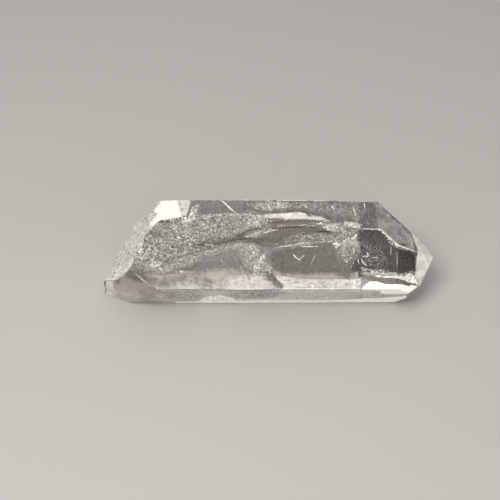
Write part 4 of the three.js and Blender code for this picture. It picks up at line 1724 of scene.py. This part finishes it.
                (33.4, 2.57), (35.7, 2.39), (36.6, 2.2), (36.8, 2.5), (35.6, 2.97), (16.7, 2.99)), 1, 0.5),
                Area(((-18.9, 2.81), (-17.7, 2.58), (-16.6, 2.47), (-12.6, 2.38), (-10.7, 2.47),
                (-9.2, 2.6), (-8.1, 2.77), (-7.6, 2.98), (-19.7, 2.98)), 0.8, 1.4),
                Area(((-25, 2.88), (17, 2.8), (17, 2.99), (-25, 2.99)), 1)), -0.03, 0.3),
            # A light line along the sharp edge past the break, wider along the point's front face.
            Film((Area(((22.6, 0.45), (28.4, 0.46), (30, 0.44), (31.9, 0.46), (33.5, 0.44), (36, 0.46),
                (38.2, 0.44), (38.2, 0.54), (34, 0.56), (31.2, 0.59), (29.8, 0.55), (28.4, 0.52),
                (22.6, 0.51)), 0.66, 0.25),), -0.03, 0.2),
            # The light strip above the edge under the upper front.
            Film((Area(((5.5, 1.9), (8.1, 1.88), (13.3, 1.9), (18.5, 1.885), (23.4, 1.9), (23.3, 1.965),
                (8.1, 1.97)), 0.5, 0.8),), -0.03, 0.3),
            # White bruises beside the worn corner.
            Film((Patch(-20.2, -0.2, 2.4, 0.6, 0.6), Patch(-21.4, 0.14, 2.2, 0.2, 0.6)), -0.03, 0.25),
            # The two arcs under the upper front.
            Film((Area(((-0.75, 1.07), (0.4, 1.09), (-0.6, 1.2), (-1.6, 1.36), (-2.4, 1.49), (-3.9, 1.6),
                (-4.6, 1.56), (-3.7, 1.4), (-2.8, 1.23)), 0.5, 0.9),
                Area(((0.8, 1.09), (1.8, 1.11), (0.8, 1.23), (0, 1.35), (-0.5, 1.31), (0.3, 1.19)), 0.5,
                0.9)), -0.03, 0.25),
        )),
        # Light satin films: partly the crystal's own milky frosting, partly painted light.
        Kind("satin_faces_and_painted_light", SpeckledFilm("satin faces and painted light", (0.97, 0.945, 0.91), (0.90, 0.87, 0.83), size=420.0,
                                   stretch=(0.7, 1.0, 1.0), crisp=1.0, fewest=-0.1, most=0.8), (
            # The upper face of the point, and the far end of the heel, where light is painted over the dark
            # edge of the glass.
            Film((Area(((28, -0.95), (38.2, -0.95), (38.4, 0), (38.2, 0.42), (33.5, 0.42), (28.2, 0.42)),
                0.5, 0.5), Patch(-45.6, 2.9, 3.4, 2.6, 0.8)), -0.018, 0.3),
            # The small faces at the tip.
            Film((Area(((38.1, -1.5), (38.1, -0.97), (38.5, -0.69), (38.8, -0.37), (39.3, -0.04),
                (39.1, 0.76), (38.8, 1.14), (38.7, 1.4), (38.3, 1.62), (38.7, 1.75), (39.6, 1.9),
                (39.6, 2.3), (44.4, 2.6), (44.6, -1.5)), 1, 0.5),), -0.01, 0.25),
            # The upper front, lighter downwards: painted light.
            Film((Area(((-34, 1.5), (-28.3, 1.38), (-25.7, 1.5), (-20.5, 1.6), (-16.6, 1.66), (-11.4, 1.6),
                (-7.5, 1.68), (0.3, 1.84), (3, 1.94), (3, 2.2), (-24, 2.2)), 0.1, 5),
                Patch(-5, 1.88, 9, 0.3, 0.9),
                Area(((1.6, 1.64), (5.5, 1.72), (8.1, 1.75), (13.3, 1.77), (19.8, 1.78), (24, 1.81),
                (24, 2.2), (3, 2.2)), 0.95, 0.4)), -0.01, 0.4),
            # The whole lower front.
            Film((Patch(-22, 2.5, 30, 1.2, 0.8), Patch(20, 2.6, 34, 1.1, 0.65)), -0.01, 0.4),
            # The light crests and the lower lip of the shell-like break.
            Film((Area(((-1.7, -0.1), (1.6, -0.02), (5.6, -0.03), (8.2, -0.02), (9.8, 0), (10.5, 0.11),
                (8.2, 0.2), (4.3, 0.17), (-1, 0.12)), 0.75, 0.8),
                Area(((10.5, 0.08), (12.6, 0.03), (14.4, 0.01), (15.9, 0.05), (17.2, 0.1), (14.7, 0.16),
                (11.8, 0.17), (9.7, 0.18)), 0.5, 0.6),
                Area(((-7.2, 0.8), (-5.4, 0.69), (-3.6, 0.53), (-1.8, 0.43), (0.3, 0.39), (2.9, 0.44),
                (0.3, 0.49), (-1.8, 0.55), (-4.9, 0.78)), 0.75, 0.4)), -0.075, 0.2),
            # The heel, lighter towards its foot: painted light.
            Film((Area(((-46, 2.2), (-38, 2.3), (-31.5, 2.3), (-22, 2.4), (-18, 3), (-37, 3.3), (-46, 3.3)),
                0.45, 4.5),), -0.02, 0.4),
            # The left half of the lower front.
            Film((Patch(-23, 2.5, 11, 1, 0.75),), -0.016, 0.4),
        )),
        Kind("mist_and_painted_shade", SpeckledFilm("mist_and_painted_shade", (0.38, 0.355, 0.32), (0.31, 0.29, 0.26), size=380.0, shift=0.07,
                            stretch=(0.7, 1.0, 1.0), crisp=1.1, fewest=-0.3, most=0.82), (
            # Painted shade: evenly dull films low on the upper front, at the heel and on the lower front,
            # over the bright glass.
            Film((Area(((-33, 1.3), (-29, 1.3), (-24, 1.42), (-17, 1.5), (-10, 1.5), (-6, 1.6), (0, 1.75),
                (2, 1.85), (2, 2.02), (-30, 2.02)), 0.85, 2),
                Area(((0.4, 1.53), (6, 1.56), (14, 1.58), (23, 1.64), (23.6, 1.86), (3, 1.8)), 1, 0.7)),
                -0.008, 0.4),
            Film((Area(((-46, 0.9), (-37, 1.05), (-33, 1.5), (-29.3, 2), (-26, 2.2), (-20, 3), (-38, 3.6),
                (-40, 4.3), (-46, 4.3)), 1, 3),), -0.014, 0.3),
        )),
        Kind("painted_window_shade", SpeckledFilm("painted_window_shade", (0.04, 0.038, 0.035), (0.012, 0.011, 0.01), shift=0.02, fewest=-0.2), (
            # Painted shade: a dark film for the dark window behind the point.
            Film((Area(((22.6, 0.5), (28.4, 0.52), (30, 0.54), (32, 0.58), (34, 0.56), (38, 0.56),
                (38.2, 0.91), (38.5, 1.18), (38.4, 1.4), (38, 1.47), (36.5, 1.456), (35.4, 1.54),
                (34.2, 1.585), (33.1, 1.54), (31.5, 1.59), (29.4, 1.656), (27.4, 1.667), (25.3, 1.686),
                (23.7, 1.7), (21.9, 1.636), (21.6, 1.57), (22, 1.458), (23.1, 1.446), (23.9, 1.367),
                (23.6, 1.257), (22.8, 1.093), (22.6, 0.83)), 1, 0.6),), -0.02, 0.3),
        )),
        # Painted shade: small dark films beside the second arc and under the bright corner.
        Kind("dusk", SpeckledFilm("dusk", (0.18, 0.165, 0.15), (0.07, 0.064, 0.058), fewest=-0.2), (
            # The dark end of the second arc.
            Film((Area(((-1, 1.58), (0.6, 1.62), (2, 1.74), (3.8, 1.92), (3.2, 1.98), (1.6, 1.86),
                (0, 1.74)), 0.7, 0.8),), -0.055, 0.25),
            # The dark sliver under the bright corner.
            Film((Area(((24, 1.8), (25.6, 1.811), (27.9, 1.789), (30.5, 1.761), (32.6, 1.726),
                (34.8, 1.706), (37.2, 1.724), (39.6, 1.975), (37.2, 1.781), (34.9, 1.802), (32.6, 1.865),
                (30.5, 1.873), (29.5, 1.861), (28.2, 1.837), (26.4, 1.822)), 1, 0.15),), -0.045, 0.2),
        )),
        # Painted shade: dark films that lower the tone of the parts they cover.
        Kind("shade", SpeckledFilm("shade", (0.135, 0.124, 0.11), (0.09, 0.083, 0.074), size=450.0, shift=0.03,
                             crisp=1.2, fewest=-0.3, most=0.84), (
            # Clear parts of the upper front that look down into the dark of the crystal.
            Film((Area(((1, 1.1), (8, 1.06), (16, 1.08), (20.5, 1.2), (21.5, 1.4), (21, 1.6), (15, 1.68),
                (8, 1.66), (3, 1.62), (0.2, 1.45)), 0.95, 2), Patch(14, 1.2, 7, 0.35, 1),
                Patch(20, 1.45, 5, 0.4, 1)), -0.012, 0.4),
            Film((Area(((-34, 1.4), (-24, 1.5), (-17, 1.58), (-13.5, 1.8), (-13.5, 2.02), (-31, 2.02)), 0.5,
                2.5),), -0.012, 0.4),
            # The shell-like break: its smooth hollow, and its broad end.
            Film((Patch(2, 0.62, 14, 0.3, 0.2),), -0.06, 0.18),
            Film((Patch(-28, 0.4, 10, 0.6, 0.42), Patch(-12, 0.25, 12, 0.5, 0.35)), -0.06, 0.3),
            # The brownish upper part of the heel.
            Film((Patch(-37.5, 1.5, 6, 0.8, 0.6), Patch(-42.5, 2.1, 2, 0.5, 0.5)), -0.018, 0.3),
            # The top.
            Film((Patch(10, -0.5, 32, 1, 0.5), Patch(-14, -0.6, 6, 0.7, 0.3)), -0.012, 0.5),
        )),
        Kind("haze", SpeckledFilm("haze", dark=(0.55, 0.53, 0.50), size=2600.0, shift=0.09, stretch=(1.6, 0.7, 0.7),
                            crisp=5.0, fewest=0.42, most=0.25), (
            Film((Patch(-14, 1.5, 26, 0.7, 0.6), Patch(-20, 2.4, 14, 0.8, 0.9)), -0.014, 0.6),
            Film((Patch(5, -0.5, 34, 0.8, 0.4),), -0.02, 0.6),
            Film((Patch(14, 1.4, 14, 0.8, 0.5),), -0.014, 0.6),
        )),
    )

    def build(self) -> list[bpy.types.Object]:
        """Builds every kind as one piece."""
        return [kind.build() for kind in self.kinds]


# ---- The studio ----


@dataclass(frozen=True)
class Lamp:
    """A soft rectangular lamp that looks at the crystal. Sizes in millimetres, power in watts."""

    name: str
    place: Triple
    size: Pair
    power: float

    def build(self) -> None:
        """Makes the lamp."""
        light = bpy.data.lights.new(self.name, "AREA")
        light.color = (1.0, 0.97, 0.92)
        light.shape = "RECTANGLE"
        light.size, light.size_y = self.size[0] * MM, self.size[1] * MM
        light.energy = self.power
        lamp = linked(self.name, light)
        lamp.location = Vector(self.place) * MM
        lamp.rotation_euler = (-lamp.location).to_track_quat("-Z", "Y").to_euler()
        lamp.visible_camera = False


@dataclass(frozen=True)
class Studio:
    """The pale floor, the soft lights and the camera."""

    lamps: tuple[Lamp, ...] = (
        Lamp("key", (-170, -260, 460), (260, 260), 2.35),
        Lamp("overhead", (0, 30, 560), (520, 300), 0.55),
        Lamp("back panel", (0, 430, 480), (900, 450), 0.8),
        Lamp("front panel", (0, -470, 260), (800, 450), 0.75),
        Lamp("low front panel", (0, -480, 50), (900, 120), 0.72),
        Lamp("right panel", (470, -300, 130), (260, 260), 0.45),
    )
    surround: float = 0.25
    # How often light may be thrown back inside the crystal before it leaves.
    bounces: int = 24
    floor_half: float = 1.5
    # A hair under the crystal, so that the floor shows through its lowest face.
    floor_gap: float = 0.08
    aim: Triple = (-4.47, -1.475, 13.27)
    elevation: float = 40.5
    distance: float = 320.0
    lens: float = 86.3

    def build(self) -> None:
        """Makes the floor, the world, the lamps and the camera."""
        scene = bpy.context.scene
        scene.view_settings.view_transform = "Standard"
        for kind in ("max", "glossy", "transmission", "transparent_max"):
            setattr(scene.cycles, f"{kind}_bounces", self.bounces)
        self.floor()
        world = bpy.data.worlds.new("studio")
        world.use_nodes = True
        sky = world.node_tree.nodes["Background"].inputs
        sky["Color"].default_value = (1.0, 0.98, 0.95, 1.0)
        sky["Strength"].default_value = self.surround
        scene.world = world
        for lamp in self.lamps:
            lamp.build()
        self.camera()

    def floor(self) -> None:
        """A plain pale floor at the height that the crystal lies on."""
        mesh = bpy.data.meshes.new("floor")
        corners = ((-1, -1), (1, -1), (1, 1), (-1, 1))
        half, low = self.floor_half, -self.floor_gap * MM
        mesh.from_pydata([(half * x, half * y, low) for x, y in corners], [], [(0, 1, 2, 3)])
        floor = linked("floor", mesh)
        material, _, _ = Finish("floor").start(Base_Color=(0.425, 0.418, 0.408, 1.0), Roughness=0.6)
        mesh.materials.append(material)

    def camera(self) -> None:
        """The camera at the object's viewing angle."""
        data = bpy.data.cameras.new("camera")
        data.lens = self.lens
        data.sensor_width = 36.0
        data.clip_start = 0.01
        camera = linked("camera", data)
        aim = Vector(self.aim) * MM
        lift = math.radians(self.elevation)
        camera.location = aim + Vector((0.0, -math.cos(lift), math.sin(lift))) * self.distance * MM
        camera.rotation_euler = (aim - camera.location).to_track_quat("-Z", "Y").to_euler()
        bpy.context.scene.camera = camera


def main() -> None:
    """Builds the crystal, its inclusions and painted films, and the studio, and reports each piece."""
    logging.basicConfig(level=logging.INFO, format="%(message)s")
    crystal = CrystalBody().build()
    finishes = {
        Zone.CLEAR: ClearQuartz("clear quartz"),
        Zone.SHELL: ClearQuartz("shell break", lines=420.0, relief=0.5, dull=0.16),
        Zone.GRANULAR: FrostedQuartz("granular break", 0.8, (0.22, 0.205, 0.185), 0.4, relief=1.0),
        Zone.BASE: FrostedQuartz("broken base", 0.3, (0.46, 0.44, 0.40), 0.6, grains=1500.0, relief=0.8),
        Zone.WHITE: FrostedQuartz("white break", 0.12, (0.85, 0.84, 0.81), 0.8, roughness=(0.3, 0.5)),
        Zone.MOTTLED: FrostedQuartz("mottled break", 0.4, (0.5, 0.47, 0.45), 0.65, grains=1200.0),
    }
    for zone in sorted(finishes):
        crystal.data.materials.append(finishes[zone].material())
    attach(crystal, "root")
    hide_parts(NODE)
    LOG.info("%s: %d faces", crystal.name, len(crystal.data.polygons))
    for piece in Inclusions().build():
        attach(piece, "root")
        LOG.info("%s: %d faces", piece.name, len(piece.data.polygons))
    Studio().build()


if __name__ == "__main__":
    main()
